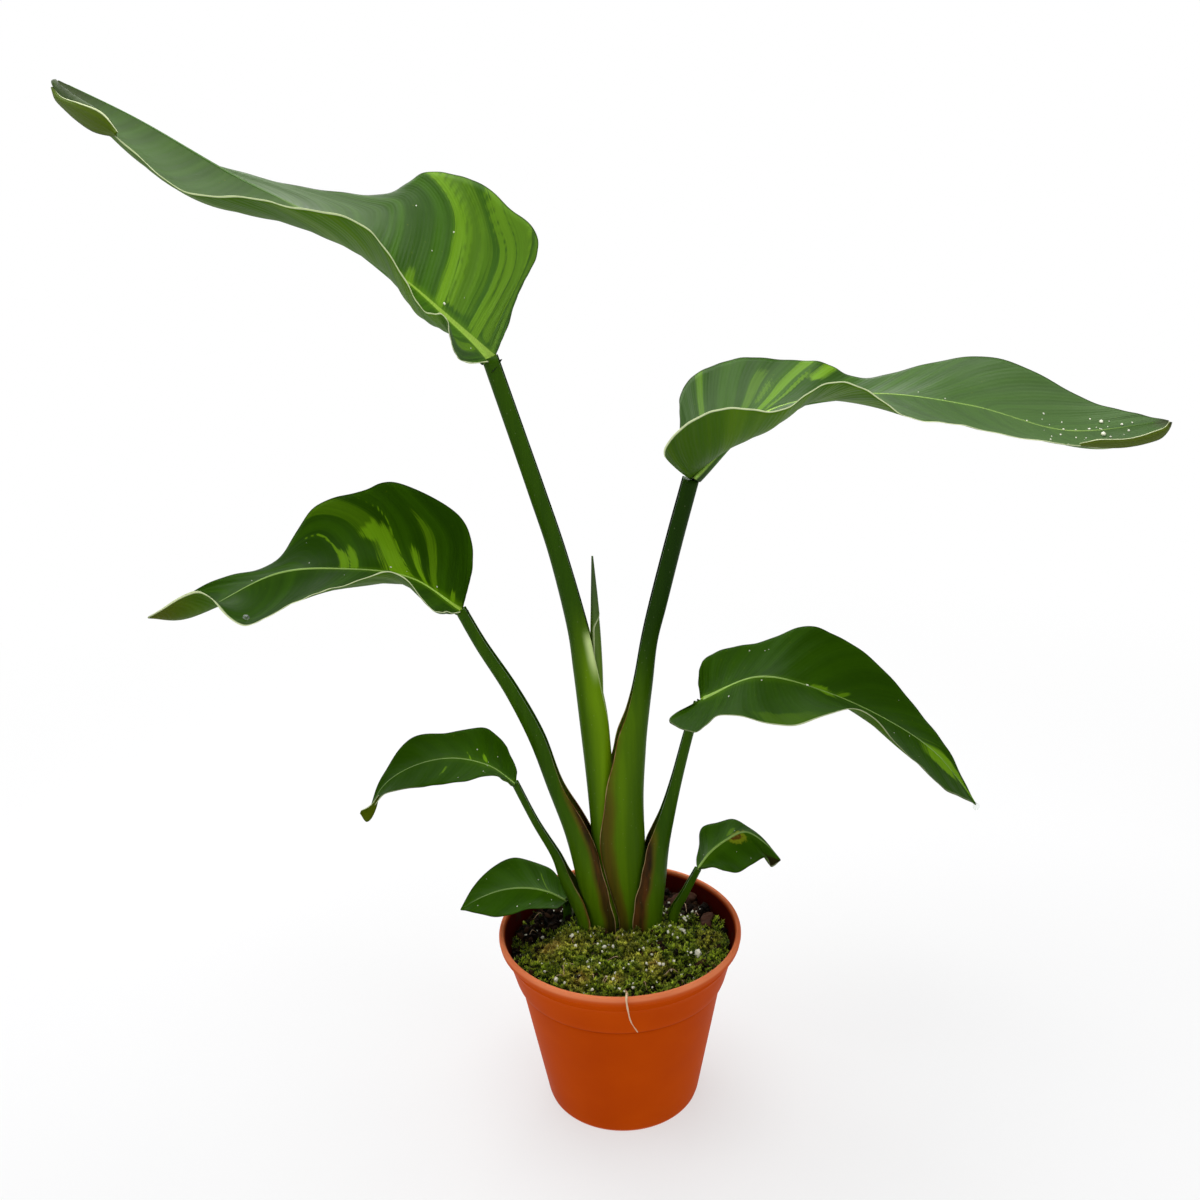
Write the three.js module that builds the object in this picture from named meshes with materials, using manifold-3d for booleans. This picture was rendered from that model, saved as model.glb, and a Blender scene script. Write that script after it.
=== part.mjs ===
// A young bird of paradise in a round nursery pot: seven leaves and one rolled new leaf.
// Millimetres, +Z up. The origin is the middle of the pot's underside, and -Y is the plant's front.

import * as THREE from 'three';
import { mergeVertices } from 'three/addons/utils/BufferGeometryUtils.js';
import Module from 'manifold-3d';

const wasm = await Module();
wasm.setup();

// Driving sizes

const GAP = 0.3; // clearance between neighbouring pieces

const POT = {
  height: 92, lipRadius: 60, lipHeight: 4.5, bandTopRadius: 58.8, bandFootRadius: 52.2, bandHeight: 24.7,
  bodyTopRadius: 50.6, baseRadius: 38.2, footChamfer: 1.5, wall: 1.3, floor: 2.2,
  drainHoles: 8, drainRadius: 4.5, drainCircle: 27, sides: 48,
};

// The stalks rise from one clump, behind the middle of the pot
const CLUMP = { x: 0, y: 14, footZ: 70 };
const SOIL = { level: 81.5, lump: 1.3, rings: 7, sides: 40 };
const MOSS = { height: 5.5, rings: 7, sides: 40, reach: 39, skirt: 8 };
const HOLES = [
  { x: -1, y: 14, halfX: 26.5, halfY: 18.5 },
  { x: -24.5, y: 21, halfX: 5.5, halfY: 5.5 },
  { x: 25, y: 13, halfX: 5.5, halfY: 5.5 },
];

const BLADE = { thickness: 0.8, keel: 2.4, firstRow: 0.03, lastRow: 0.985 };

// Each blade is a midrib with a front and a back margin. A margin has the two ends of the midrib
// and the seven places between them, from the base to the tip. Sag is how far a half bows
// downwards between midrib and margin, as a share of its width, from the base to the tip.
const BLADES = {
  top_left: {
    rows: 20, columns: 6,
    midrib: [[-49, 15, 368], [-81, 8, 401], [-113, 5, 427], [-152, 9, 448], [-191, 17, 471],
      [-228, 30, 489]],
    back: [[-36, 30, 398], [-28, 37, 420], [-49, 44, 441], [-75, 53, 449], [-106, 58, 440],
      [-163, 56, 452], [-214, 38, 468]],
    front: [[-61, -14, 372], [-62, -38, 390], [-71, -50, 397], [-86, -55, 424], [-121, -52, 435],
      [-160, -40, 442], [-198, -14, 471]],
    backSag: [0.1, 0.12, 0.05, 0.1], frontSag: [0.02, 0.08, 0.1, 0.3],
  },
  top_right: {
    rows: 20, columns: 6,
    midrib: [[38, 15, 313], [69, 6, 343], [112, 0, 351], [157, -3, 345], [200, -4, 333], [244, -5, 336]],
    back: [[34, 32, 337], [40, 50, 353], [64, 57, 362], [99, 55, 360], [126, 49, 352], [174, 34, 362],
      [219, 13, 342]],
    front: [[25, -3, 330], [42, -30, 350], [68, -45, 352], [92, -49, 363], [117, -50, 349],
      [151, -44, 341], [207, -26, 329]],
    backSag: [0.1, 0.12, 0.1, 0.1], frontSag: [0.2, 0.12, 0.02, 0.15],
  },
  mid_left: {
    rows: 18, columns: 5,
    midrib: [[-70, 15, 253], [-91, 7, 272], [-119, 1, 279], [-150, -4, 279], [-188, -8, 262],
      [-208, -9, 262]],
    back: [[-65, 29, 273], [-71, 40, 293], [-99, 40, 310], [-117, 44, 306], [-140, 43, 299],
      [-162, 36, 274], [-187, 17, 270]],
    front: [[-73, -9, 260], [-78, -28, 269], [-92, -38, 288], [-113, -46, 284], [-131, -46, 279],
      [-156, -38, 266], [-178, -24, 278]],
    backSag: [0.1, 0.15, 0.1, 0.05], frontSag: [0.05, 0.06, 0.03, 0.3],
  },
  mid_right: {
    rows: 18, columns: 5,
    midrib: [[42, 15, 205], [69, 9, 218], [98, 4, 212], [127, -1, 199], [151, -5, 182], [171, -8, 156]],
    back: [[43, 35, 213], [52, 50, 216], [74, 52, 220], [100, 46, 230], [121, 38, 222], [146, 28, 197],
      [161, 13, 177]],
    front: [[26, 2, 201], [35, -22, 204], [47, -32, 216], [76, -37, 213], [108, -36, 218],
      [130, -35, 195], [150, -25, 174]],
    backSag: [0.1, 0.1, 0.1, 0.1], frontSag: [0.1, 0.05, 0.05, 0.02],
  },
  low_left: {
    rows: 12, columns: 4,
    midrib: [[-49, 13, 164], [-61, 9, 176], [-78, 6, 182], [-96, 3, 180], [-111, 1, 171], [-121, 0, 154]],
    back: [[-49, 24, 167], [-53, 31, 173], [-57, 32, 180], [-65, 31, 187], [-82, 27, 186],
      [-100, 20, 187], [-113, 12, 172]],
    front: [[-49, 2, 168], [-52, -8, 177], [-57, -13, 182], [-69, -16, 180], [-82, -17, 180],
      [-94, -15, 177], [-110, -10, 171]],
    backSag: [0.1, 0.15, 0.1, 0.1], frontSag: [0.05, 0.05, 0, 0.1],
  },
  base_left: {
    rows: 12, columns: 4,
    midrib: [[-27, 14, 98], [-35, 9, 106], [-45, 5, 111], [-56, 1, 113], [-67, -2, 111], [-78, -5, 106]],
    back: [[-27, 22, 97], [-30, 29, 101], [-35, 31, 107], [-43, 27, 113], [-53, 21, 119], [-63, 14, 118],
      [-72, 5, 113]],
    front: [[-28, 2, 103], [-32, -7, 107], [-39, -11, 109], [-47, -13, 109], [-56, -13, 107],
      [-64, -12, 107], [-72, -9, 107]],
    backSag: [0.1, 0.15, 0.1, 0.1], frontSag: [0.1, 0.08, 0.05, 0.05],
  },
  base_right: {
    rows: 12, columns: 4,
    midrib: [[40, 12, 115], [46, 10, 125], [54, 8, 133], [63, 6, 138], [72, 4, 133], [80, 2, 124]],
    back: [[40, 21, 115], [42, 28, 120], [44, 30, 128], [51, 29, 131], [59, 26, 135], [67, 20, 133],
      [75, 11, 128]],
    front: [[41, 4, 120], [46, -3, 124], [51, -7, 125], [57, -9, 125], [64, -9, 128], [71, -6, 130],
      [75, -2, 123]],
    backSag: [0.1, 0.1, 0.1, 0.1], frontSag: [0.1, 0.1, 0.1, 0.1],
  },
};

// Each stalk is a row of sections from its foot up to its blade. A section has its middle, its half
// width and half depth, the thickness of its back and of its wings, how far round the wings
// reach in degrees, and how solid it is: 0 is an open sheath, and 1 is a filled leaf stalk.
const STALKS = {
  top_left: {
    sections: [
      { at: [-3.5, 14, 70], half: [6.8, 7], back: 3, wing: 1, reach: 135, solid: 0 },
      { at: [-5, 14, 120], half: [7, 7], back: 3, wing: 1, reach: 140, solid: 0 },
      { at: [-7, 14.5, 160], half: [7, 6.8], back: 3.5, wing: 1, reach: 150, solid: 0 },
      { at: [-9.5, 15, 196], half: [7.2, 6.5], back: 4, wing: 1, reach: 157, solid: 0 },
      { at: [-12, 15, 222], half: [6.8, 6], back: 4.5, wing: 1, reach: 138, solid: 0.2 },
      { at: [-15, 15, 245], half: [6.2, 5.2], back: 5, wing: 1.2, reach: 125, solid: 0.9 },
      { at: [-23, 15, 280], half: [5.2, 4.6], back: 5, wing: 1.2, reach: 125, solid: 1 },
      { at: [-31, 15, 308], half: [5, 4.4], back: 5, wing: 1.2, reach: 125, solid: 1 },
      { at: [-39, 15, 335], half: [4.8, 4.1], back: 5, wing: 1.2, reach: 125, solid: 1 },
      { at: [-49.5, 15, 370], half: [4.6, 4], back: 4, wing: 1.2, reach: 125, solid: 1 },
    ],
  },
  top_right: {
    sections: [
      { at: [3.5, 14, 70], half: [10.5, 10.4], back: 2.2, wing: 1, reach: 110, solid: 0 },
      { at: [3.5, 14, 95], half: [10.5, 10.4], back: 2.2, wing: 1, reach: 118, solid: 0 },
      { at: [-0.4, 14, 125], half: [14.4, 9.6], back: 3, wing: 1, reach: 120, solid: 0 },
      { at: [0.6, 14, 155], half: [13.1, 9.4], back: 3.5, wing: 1, reach: 120, solid: 0 },
      { at: [4.7, 14.5, 180], half: [10.6, 8.4], back: 4, wing: 1, reach: 120, solid: 0 },
      { at: [10.3, 15, 200], half: [7, 6.4], back: 5, wing: 1, reach: 125, solid: 0.5 },
      { at: [13.5, 15, 216], half: [5.8, 5], back: 5, wing: 1.2, reach: 125, solid: 1 },
      { at: [16.8, 15, 236], half: [5, 4.4], back: 5, wing: 1.2, reach: 125, solid: 1 },
      { at: [21.4, 15, 255], half: [5.2, 4.4], back: 5, wing: 1.2, reach: 125, solid: 1 },
      { at: [29.5, 15, 286], half: [5, 4.2], back: 4, wing: 1.2, reach: 125, solid: 1 },
      { at: [37, 15, 313], half: [4.8, 4], back: 4, wing: 1.2, reach: 125, solid: 1 },
    ],
  },
  mid_left: {
    sections: [
      { at: [-4.5, 14, 70], half: [12.5, 12.8], back: 1.8, wing: 1, reach: 105, solid: 0 },
      { at: [-5.5, 14, 92], half: [12.5, 12.6], back: 2, wing: 1, reach: 107, solid: 0 },
      { at: [-11.5, 14, 112], half: [9.6, 11.8], back: 2.4, wing: 1, reach: 120, solid: 0 },
      { at: [-18.8, 14, 137], half: [7.2, 8.6], back: 3.5, wing: 1, reach: 142, solid: 0.1 },
      { at: [-28.7, 14.5, 162], half: [5, 5.4], back: 4, wing: 1, reach: 125, solid: 0.7 },
      { at: [-36.8, 15, 188], half: [5, 4.4], back: 4.4, wing: 1.2, reach: 125, solid: 1 },
      { at: [-48.2, 15, 213], half: [4.2, 3.8], back: 4, wing: 1.2, reach: 125, solid: 1 },
      { at: [-61.2, 15, 236], half: [3.6, 3.2], back: 4, wing: 1.2, reach: 125, solid: 1 },
      { at: [-70, 15, 254], half: [3.3, 2.9], back: 3, wing: 1.2, reach: 125, solid: 1 },
    ],
  },
  mid_right: {
    sections: [
      { at: [11, 14, 70], half: [10.5, 14.6], back: 2.2, wing: 1, reach: 115, solid: 0 },
      { at: [11.8, 14, 92], half: [10.5, 14], back: 2.4, wing: 1, reach: 120, solid: 0 },
      { at: [15.5, 14, 110], half: [8.7, 11.2], back: 2.8, wing: 1, reach: 126, solid: 0 },
      { at: [18.8, 14.5, 127], half: [7.2, 7.6], back: 3.5, wing: 1, reach: 128, solid: 0.3 },
      { at: [24.4, 15, 145], half: [4.8, 4.2], back: 4, wing: 1.2, reach: 125, solid: 1 },
      { at: [29.3, 15, 163], half: [3.5, 3.2], back: 4, wing: 1.2, reach: 125, solid: 1 },
      { at: [35.4, 15, 187], half: [3, 2.6], back: 3, wing: 1, reach: 125, solid: 1 },
      { at: [40.4, 15, 203.2], half: [2.8, 2.4], back: 3, wing: 1, reach: 125, solid: 1 },
    ],
  },
  low_left: {
    sections: [
      { at: [-9, 14, 70], half: [12.3, 15.2], back: 1.6, wing: 1, reach: 62, solid: 0 },
      { at: [-10.5, 14, 90], half: [11.8, 14.6], back: 1.6, wing: 1, reach: 64, solid: 0 },
      { at: [-24, 14, 108], half: [5, 6.4], back: 2.5, wing: 1, reach: 120, solid: 0.4 },
      { at: [-30.3, 14, 124], half: [3, 3], back: 3, wing: 1, reach: 125, solid: 1 },
      { at: [-39.8, 13.5, 143], half: [2.3, 2.2], back: 3, wing: 1, reach: 125, solid: 1 },
      { at: [-49, 13, 165], half: [2.2, 2], back: 2, wing: 0.8, reach: 125, solid: 1 },
    ],
  },
  base_left: {
    sections: [
      { at: [-25.5, 22, 70], half: [3.2, 3], back: 3, wing: 1, reach: 125, solid: 1 },
      { at: [-26, 21, 86], half: [2.8, 2.8], back: 3, wing: 1, reach: 125, solid: 1 },
      { at: [-26.8, 16, 96.6], half: [2, 1.9], back: 2, wing: 0.8, reach: 125, solid: 1 },
    ],
  },
  base_right: {
    sections: [
      { at: [26, 13, 70], half: [3.2, 3.2], back: 3, wing: 1, reach: 125, solid: 1 },
      { at: [27, 13, 88], half: [3.2, 3], back: 3, wing: 1, reach: 125, solid: 1 },
      { at: [33, 12.5, 101], half: [2.5, 2.2], back: 2, wing: 0.8, reach: 125, solid: 1 },
      { at: [39.8, 12, 115], half: [2.1, 1.8], back: 2, wing: 0.8, reach: 125, solid: 1 },
    ],
  },
};
const STALK_SIDES = 8; // facets along the back of a stalk, and as many along its channel

// The rolled new leaf stands in the channel of the top left stalk
const SPEAR = {
  path: [[-7.3, 14.6, 168], [-7.3, 15, 200], [-7.3, 15, 224], [-7.6, 15, 250], [-8, 15, 278]],
  radii: [2.2, 2.4, 2.5, 1.9, 0.4],
  overlap: 0.18, steps: 10, sides: 10,
};

// The crown's half sizes, and the roots that run out from it and down to their ends
const ROOTS = {
  crown: [19, 12, 7], count: 6, radius: 2.2, tipRadius: 1, steps: 4, sides: 5,
  reach: 26, middleZ: 36, endZ: 14, wander: 5,
};
const ROOTLET = {
  radius: 0.6, sides: 6, steps: 12,
  path: [[1.6, -44, 84.6], [2.2, -50, 86.5], [2, -55, 91], [1.7, -58.6, 93.2], [1.5, -61, 91.6],
    [2.2, -61.2, 86], [3.4, -60.5, 80], [6.2, -59.6, 74]],
};

const BARK_CHIPS = [
  { at: [33, 33, 84.5], size: [17, 9, 4], turn: 25, tilt: 6 },
  { at: [45, 14, 84], size: [13, 7, 3.5], turn: 80, tilt: -5 },
  { at: [16, 43, 84], size: [12, 8, 3.5], turn: -20, tilt: 5 },
];

const COLOURS = {
  pot: 0xb4491c, soil: 0x2e2318, moss: 0x6d8a2a, root: 0xd8c79a, bark: 0x5a3a22,
  blade: 0x2f6a1c, stalk: 0x3f6b1e, spear: 0x5c8a35,
};

// Mesh helpers

const vector = (p) => new THREE.Vector3(...p);
const smooth = (points) => new THREE.CatmullRomCurve3(points.map(vector), false, 'catmullrom', 0.5);
const radians = THREE.MathUtils.degToRad;
const lerp = THREE.MathUtils.lerp;

/** A smooth value along a row of evenly spaced numbers. */
function smoothValue(values, t) {
  return smooth(values.map((v) => [v, 0, 0])).getPoint(t).x;
}

/** A geometry from a list of points and a list of triangles. */
function geometryOf(points, triangles) {
  const geometry = new THREE.BufferGeometry();
  const positions = points.flatMap((p) => [p.x, p.y, p.z]);
  geometry.setAttribute('position', new THREE.Float32BufferAttribute(positions, 3));
  geometry.setIndex(triangles.flat());
  return geometry;
}

/** A manifold solid from a closed geometry. */
function solidOf(geometry) {
  const bare = geometry.clone();
  bare.deleteAttribute('normal');
  bare.deleteAttribute('uv');
  const merged = mergeVertices(bare, 1e-4);
  return new wasm.Manifold(new wasm.Mesh({
    numProp: 3,
    vertProperties: new Float32Array(merged.attributes.position.array),
    triVerts: new Uint32Array(merged.index.array),
  }));
}

/** The geometry of a manifold solid's largest piece. */
function geometryOfSolid(solid) {
  const pieces = solid.decompose().sort((a, b) => b.volume() - a.volume());
  const mesh = pieces[0].getMesh();
  const geometry = new THREE.BufferGeometry();
  geometry.setAttribute('position', new THREE.Float32BufferAttribute(mesh.vertProperties, 3));
  geometry.setIndex([...mesh.triVerts]);
  return geometry;
}

/** The two triangles of a quad whose corners go round counter-clockwise, seen from outside. */
const quad = (a, b, c, d) => [[a, b, c], [a, c, d]];

// Pot

/** The inside radius of the pot at a height. */
function potInside(z) {
  const bandFoot = POT.height - POT.bandHeight;
  const outside = z < bandFoot
    ? lerp(POT.baseRadius, POT.bodyTopRadius, z / bandFoot)
    : lerp(POT.bandFootRadius, POT.bandTopRadius, (z - bandFoot) / POT.bandHeight);
  return outside - POT.wall;
}

function makePot() {
  const bandFoot = POT.height - POT.bandHeight;
  const lipFoot = POT.height - POT.lipHeight;
  const lipInside = POT.bandTopRadius - POT.wall;
  const profile = [
    [0, 0], [POT.baseRadius - POT.footChamfer, 0], [POT.baseRadius, POT.footChamfer],
    [POT.bodyTopRadius, bandFoot - 0.4], [POT.bandFootRadius, bandFoot],
    [POT.bandTopRadius - 0.9, lipFoot - 1], [POT.lipRadius - 0.4, lipFoot],
    [POT.lipRadius, POT.height - 1.6], [POT.lipRadius - 0.7, POT.height - 0.4],
    [POT.lipRadius - 1.5, POT.height], [lipInside, POT.height - 1],
    [potInside(bandFoot + 0.6), bandFoot + 0.6], [potInside(bandFoot - 1.6), bandFoot - 1.6],
    [potInside(POT.floor + 1), POT.floor + 1], [potInside(POT.floor) - 1, POT.floor], [0, POT.floor],
  ].map(([r, z]) => new THREE.Vector2(r, z));
  const shell = new THREE.LatheGeometry(profile, POT.sides).rotateX(Math.PI / 2);
  let solid = solidOf(shell);
  for (let i = 0; i < POT.drainHoles; i++) {
    const angle = (i + 0.5) * 2 * Math.PI / POT.drainHoles;
    const hole = new THREE.CylinderGeometry(POT.drainRadius, POT.drainRadius, POT.floor + 4, 16)
      .rotateX(Math.PI / 2)
      .translate(POT.drainCircle * Math.cos(angle), POT.drainCircle * Math.sin(angle), POT.floor / 2);
    solid = solid.subtract(solidOf(hole));
  }
  return geometryOfSolid(solid);
}

// Leaf blades

/** The curves of a blade, each from its base to its tip. */
function bladeCurves(blade) {
  const [base, tip] = [blade.midrib[0], blade.midrib.at(-1)];
  return {
    midrib: smooth(blade.midrib),
    back: smooth([base, ...blade.back, tip]),
    front: smooth([base, ...blade.front, tip]),
  };
}

/**
 * A point of the blade's middle surface: row u from base to tip, share f from midrib to margin, and
 * then a length beyond.
 */
function bladePoint(blade, curves, side, u, f, beyond = 0) {
  const foot = curves.midrib.getPoint(u * u);
  const row = curves[side].getPoint(u).sub(foot);
  const along = curves.midrib.getTangent(u * u);
  const heading = Math.sign(blade.midrib.at(-1)[0] - blade.midrib[0][0]);
  const under = along.cross(row).normalize().multiplyScalar(side === 'front' ? heading : -heading);
  const sag = smoothValue(blade[side + 'Sag'], u) * row.length() * 4 * f * (1 - f);
  return foot.addScaledVector(row, f + beyond / row.length()).addScaledVector(under, sag);
}

/** The room that a blade takes up with a clearance round it and behind its base. */
function bladeRoom(blade) {
  const sheet = solidOf(bladeGeometry(blade, GAP));
  const behind = bladeCurves(blade).midrib.getTangent(0).multiplyScalar(-2.5 * GAP);
  return sheet.add(sheet.translate(...behind.toArray()));
}

/** A closed thin sheet over the blade's middle surface, with the midrib's keel below it. */
function bladeGeometry(blade, grow = 0) {
  const curves = bladeCurves(blade);
  const heading = Math.sign(blade.midrib.at(-1)[0] - blade.midrib[0][0]);
  const { rows, columns } = blade;
  const half = BLADE.thickness / 2 + grow;
  const across = 2 * columns + 1;
  const middle = [];
  for (let i = 0; i <= rows; i++) {
    const u = lerp(BLADE.firstRow, BLADE.lastRow, i / rows);
    for (let j = -columns; j <= columns; j++) {
      const side = j < 0 ? 'back' : 'front';
      const beyond = Math.abs(j) === columns ? grow : 0;
      middle.push(bladePoint(blade, curves, side, u, Math.abs(j) / columns, beyond));
    }
  }
  const at = (i, j) => middle[i * across + j];
  const top = [];
  const bottom = [];
  for (let i = 0; i <= rows; i++) {
    for (let j = 0; j < across; j++) {
      const along = at(Math.min(i + 1, rows), j).clone().sub(at(Math.max(i - 1, 0), j));
      const over = at(i, Math.min(j + 1, across - 1)).clone().sub(at(i, Math.max(j - 1, 0)));
      const up = over.cross(along).normalize().multiplyScalar(heading);
      const keel = j === columns ? BLADE.keel * (1 - i / rows) ** 1.5 : 0;
      top.push(at(i, j).clone().addScaledVector(up, half));
      bottom.push(at(i, j).clone().addScaledVector(up, -half - keel));
    }
  }
  const triangles = [];
  const index = (i, j, below) => i * across + j + (below ? middle.length : 0);
  const add = (...corners) => triangles.push(...quad(...corners));
  for (let i = 0; i < rows; i++) {
    for (let j = 0; j < across - 1; j++) {
      add(index(i, j), index(i, j + 1), index(i + 1, j + 1), index(i + 1, j));
      triangles.push([index(i, j, true), index(i + 1, j + 1, true), index(i, j + 1, true)]);
      triangles.push([index(i, j, true), index(i + 1, j, true), index(i + 1, j + 1, true)]);
    }
    add(index(i, 0, true), index(i, 0), index(i + 1, 0), index(i + 1, 0, true));
    add(index(i, across - 1), index(i, across - 1, true), index(i + 1, across - 1, true),
      index(i + 1, across - 1));
  }
  const tip = curves.midrib.getPoint(1);
  const tipUp = top[rows * across + columns].clone().sub(at(rows, columns));
  const [tipTop, tipBottom] = [2 * middle.length, 2 * middle.length + 1];
  for (let j = 0; j < across - 1; j++) {
    add(index(0, j, true), index(0, j + 1, true), index(0, j + 1), index(0, j));
    triangles.push([index(rows, j), index(rows, j + 1), tipTop]);
    triangles.push([index(rows, j + 1, true), index(rows, j, true), tipBottom]);
  }
  add(index(rows, 0, true), index(rows, 0), tipTop, tipBottom);
  add(index(rows, across - 1), index(rows, across - 1, true), tipBottom, tipTop);
  const points = [...top, ...bottom, tip.clone().add(tipUp), tip.clone().sub(tipUp)];
  const outward = heading > 0 ? triangles : triangles.map(([a, b, c]) => [a, c, b]);
  return geometryOf(points, outward);
}

// Stalks

/** A closed loft through rings of paired outer and inner points, open between its two wings. */
function channelGeometry(rings) {
  const sides = rings[0].outer.length;
  const points = rings.flatMap(({ outer, inner }) => [...outer, ...inner]);
  const outer = (i, k) => i * 2 * sides + k;
  const inner = (i, k) => i * 2 * sides + sides + k;
  const triangles = [];
  const add = (...corners) => triangles.push(...quad(...corners));
  const last = rings.length - 1;
  for (let i = 0; i < last; i++) {
    for (let k = 0; k < sides - 1; k++) {
      add(outer(i, k), outer(i, k + 1), outer(i + 1, k + 1), outer(i + 1, k));
      add(inner(i, k + 1), inner(i, k), inner(i + 1, k), inner(i + 1, k + 1));
    }
    add(inner(i, 0), outer(i, 0), outer(i + 1, 0), inner(i + 1, 0));
    add(outer(i, sides - 1), inner(i, sides - 1), inner(i + 1, sides - 1), outer(i + 1, sides - 1));
  }
  for (let k = 0; k < sides - 1; k++) {
    add(outer(0, k + 1), outer(0, k), inner(0, k), inner(0, k + 1));
    add(outer(last, k), outer(last, k + 1), inner(last, k + 1), inner(last, k));
  }
  return geometryOf(points, triangles);
}

/** The paired outer and inner points of one section of a stalk whose back faces out. */
function stalkRing(section, along, out) {
  const across = new THREE.Vector3(1, 0, 0).addScaledVector(along, -along.x).normalize();
  const depth = along.clone().cross(across).normalize();
  const reach = radians(section.reach);
  const [halfX, halfY] = section.half;
  const ring = { outer: [], inner: [] };
  for (let k = 0; k <= STALK_SIDES; k++) {
    const angle = reach * (2 * k / STALK_SIDES - 1);
    const [c, s] = [Math.cos(angle), Math.sin(angle)];
    const wall = lerp(section.wing, section.back, Math.max(0, c) ** 1.5);
    const channel = halfX * (Math.cos(reach) + 0.25 * Math.cos(angle * Math.PI / 2 / reach));
    const innerX = lerp((halfX - wall) * c, channel, section.solid);
    const innerY = (halfY - lerp(wall, section.wing, section.solid)) * s;
    const place = (x, y) => vector(section.at)
      .addScaledVector(across, out * x)
      .addScaledVector(depth, out * y);
    ring.outer.push(place(halfX * c, halfY * s));
    ring.inner.push(place(innerX, innerY));
  }
  return ring;
}

/** A stalk that stands on a level foot. */
function stalkGeometry(stalk, out) {
  const path = smooth(stalk.sections.map((section) => section.at));
  const last = stalk.sections.length - 1;
  const rings = stalk.sections.map((section, i) => {
    const along = i ? path.getTangent(i / last) : new THREE.Vector3(0, 0, 1);
    return stalkRing(section, along, out);
  });
  return channelGeometry(rings);
}

// Rolled leaf, roots and rootlet

/** A closed tube with a radius for each place along its path and round its section. */
function tubeGeometry(path, steps, sides, radiusAt) {
  const points = [];
  const triangles = [];
  for (let i = 0; i <= steps; i++) {
    const t = i / steps;
    const along = path.getTangent(t);
    const helper = Math.abs(along.x) > 0.8 ? new THREE.Vector3(0, 0, 1) : new THREE.Vector3(1, 0, 0);
    const a = helper.addScaledVector(along, -helper.dot(along)).normalize();
    const b = along.clone().cross(a);
    for (let k = 0; k < sides; k++) {
      const angle = 2 * Math.PI * k / sides;
      const radius = radiusAt(t, k / sides);
      points.push(path.getPoint(t).addScaledVector(a, radius * Math.cos(angle))
        .addScaledVector(b, radius * Math.sin(angle)));
    }
  }
  const at = (i, k) => i * sides + (k % sides);
  for (let i = 0; i < steps; i++) {
    for (let k = 0; k < sides; k++) {
      triangles.push(...quad(at(i, k), at(i, k + 1), at(i + 1, k + 1), at(i + 1, k)));
    }
  }
  for (let k = 1; k < sides - 1; k++) {
    triangles.push([at(0, 0), at(0, k + 1), at(0, k)]);
    triangles.push([at(steps, 0), at(steps, k), at(steps, k + 1)]);
  }
  return geometryOf(points, triangles);
}

/** The rolled leaf: its section is a spiral whose outer edge stands proud as a seam. */
function makeSpear() {
  const radiusAt = (t, turn) => smoothValue(SPEAR.radii, t) * (1 + SPEAR.overlap * turn);
  return tubeGeometry(smooth(SPEAR.path), SPEAR.steps, SPEAR.sides, radiusAt);
}

/** The crown under the stalks, with fleshy roots that run out and down from it. */
function rootsSolid(grow) {
  const crownZ = CLUMP.footZ - GAP - ROOTS.crown[2];
  const [halfX, halfY, halfZ] = ROOTS.crown.map((half) => half + grow);
  const crown = new THREE.SphereGeometry(1, 12, 6)
    .scale(halfX, halfY, halfZ)
    .translate(CLUMP.x, CLUMP.y, crownZ);
  const parts = [solidOf(crown)];
  for (let i = 0; i < ROOTS.count; i++) {
    const angle = 2 * Math.PI * (i + 0.3) / ROOTS.count;
    const reach = ROOTS.reach + ROOTS.wander * Math.cos(3 * i);
    const endZ = ROOTS.endZ + ROOTS.wander * Math.sin(2 * i + 1) - grow;
    const place = (radius, turn, centreY, z) => [
      radius * Math.cos(angle + turn), centreY + radius * Math.sin(angle + turn), z,
    ];
    const path = smooth([
      place(ROOTS.crown[1] * 0.5, 0, CLUMP.y, crownZ),
      place(ROOTS.crown[0] * 0.95, 0, CLUMP.y * 0.7, crownZ - 9),
      place(reach, 0.04 * Math.sin(5 * i), 0, ROOTS.middleZ),
      place(reach * 0.9, 0.3, 0, endZ),
    ]);
    const radiusAt = (t) => lerp(ROOTS.radius, ROOTS.tipRadius, t) + 1.5 * grow;
    parts.push(solidOf(tubeGeometry(path, ROOTS.steps, ROOTS.sides, radiusAt)));
  }
  return parts.reduce((all, part) => all.add(part));
}

/** A fine root that leaves the moss and hangs over the rim. */
function makeRootlet(grow = 0) {
  return tubeGeometry(smooth(ROOTLET.path), ROOTLET.steps, ROOTLET.sides, () => ROOTLET.radius + grow);
}

// Soil and moss

/** The height of the soil's lumpy top. */
function soilHeight(x, y) {
  const lumps = Math.sin(0.31 * x + 1) * Math.cos(0.27 * y) + 0.6 * Math.sin(0.53 * x - 0.47 * y + 2);
  return SOIL.level + SOIL.lump * lumps + 0.02 * (x + y);
}

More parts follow.
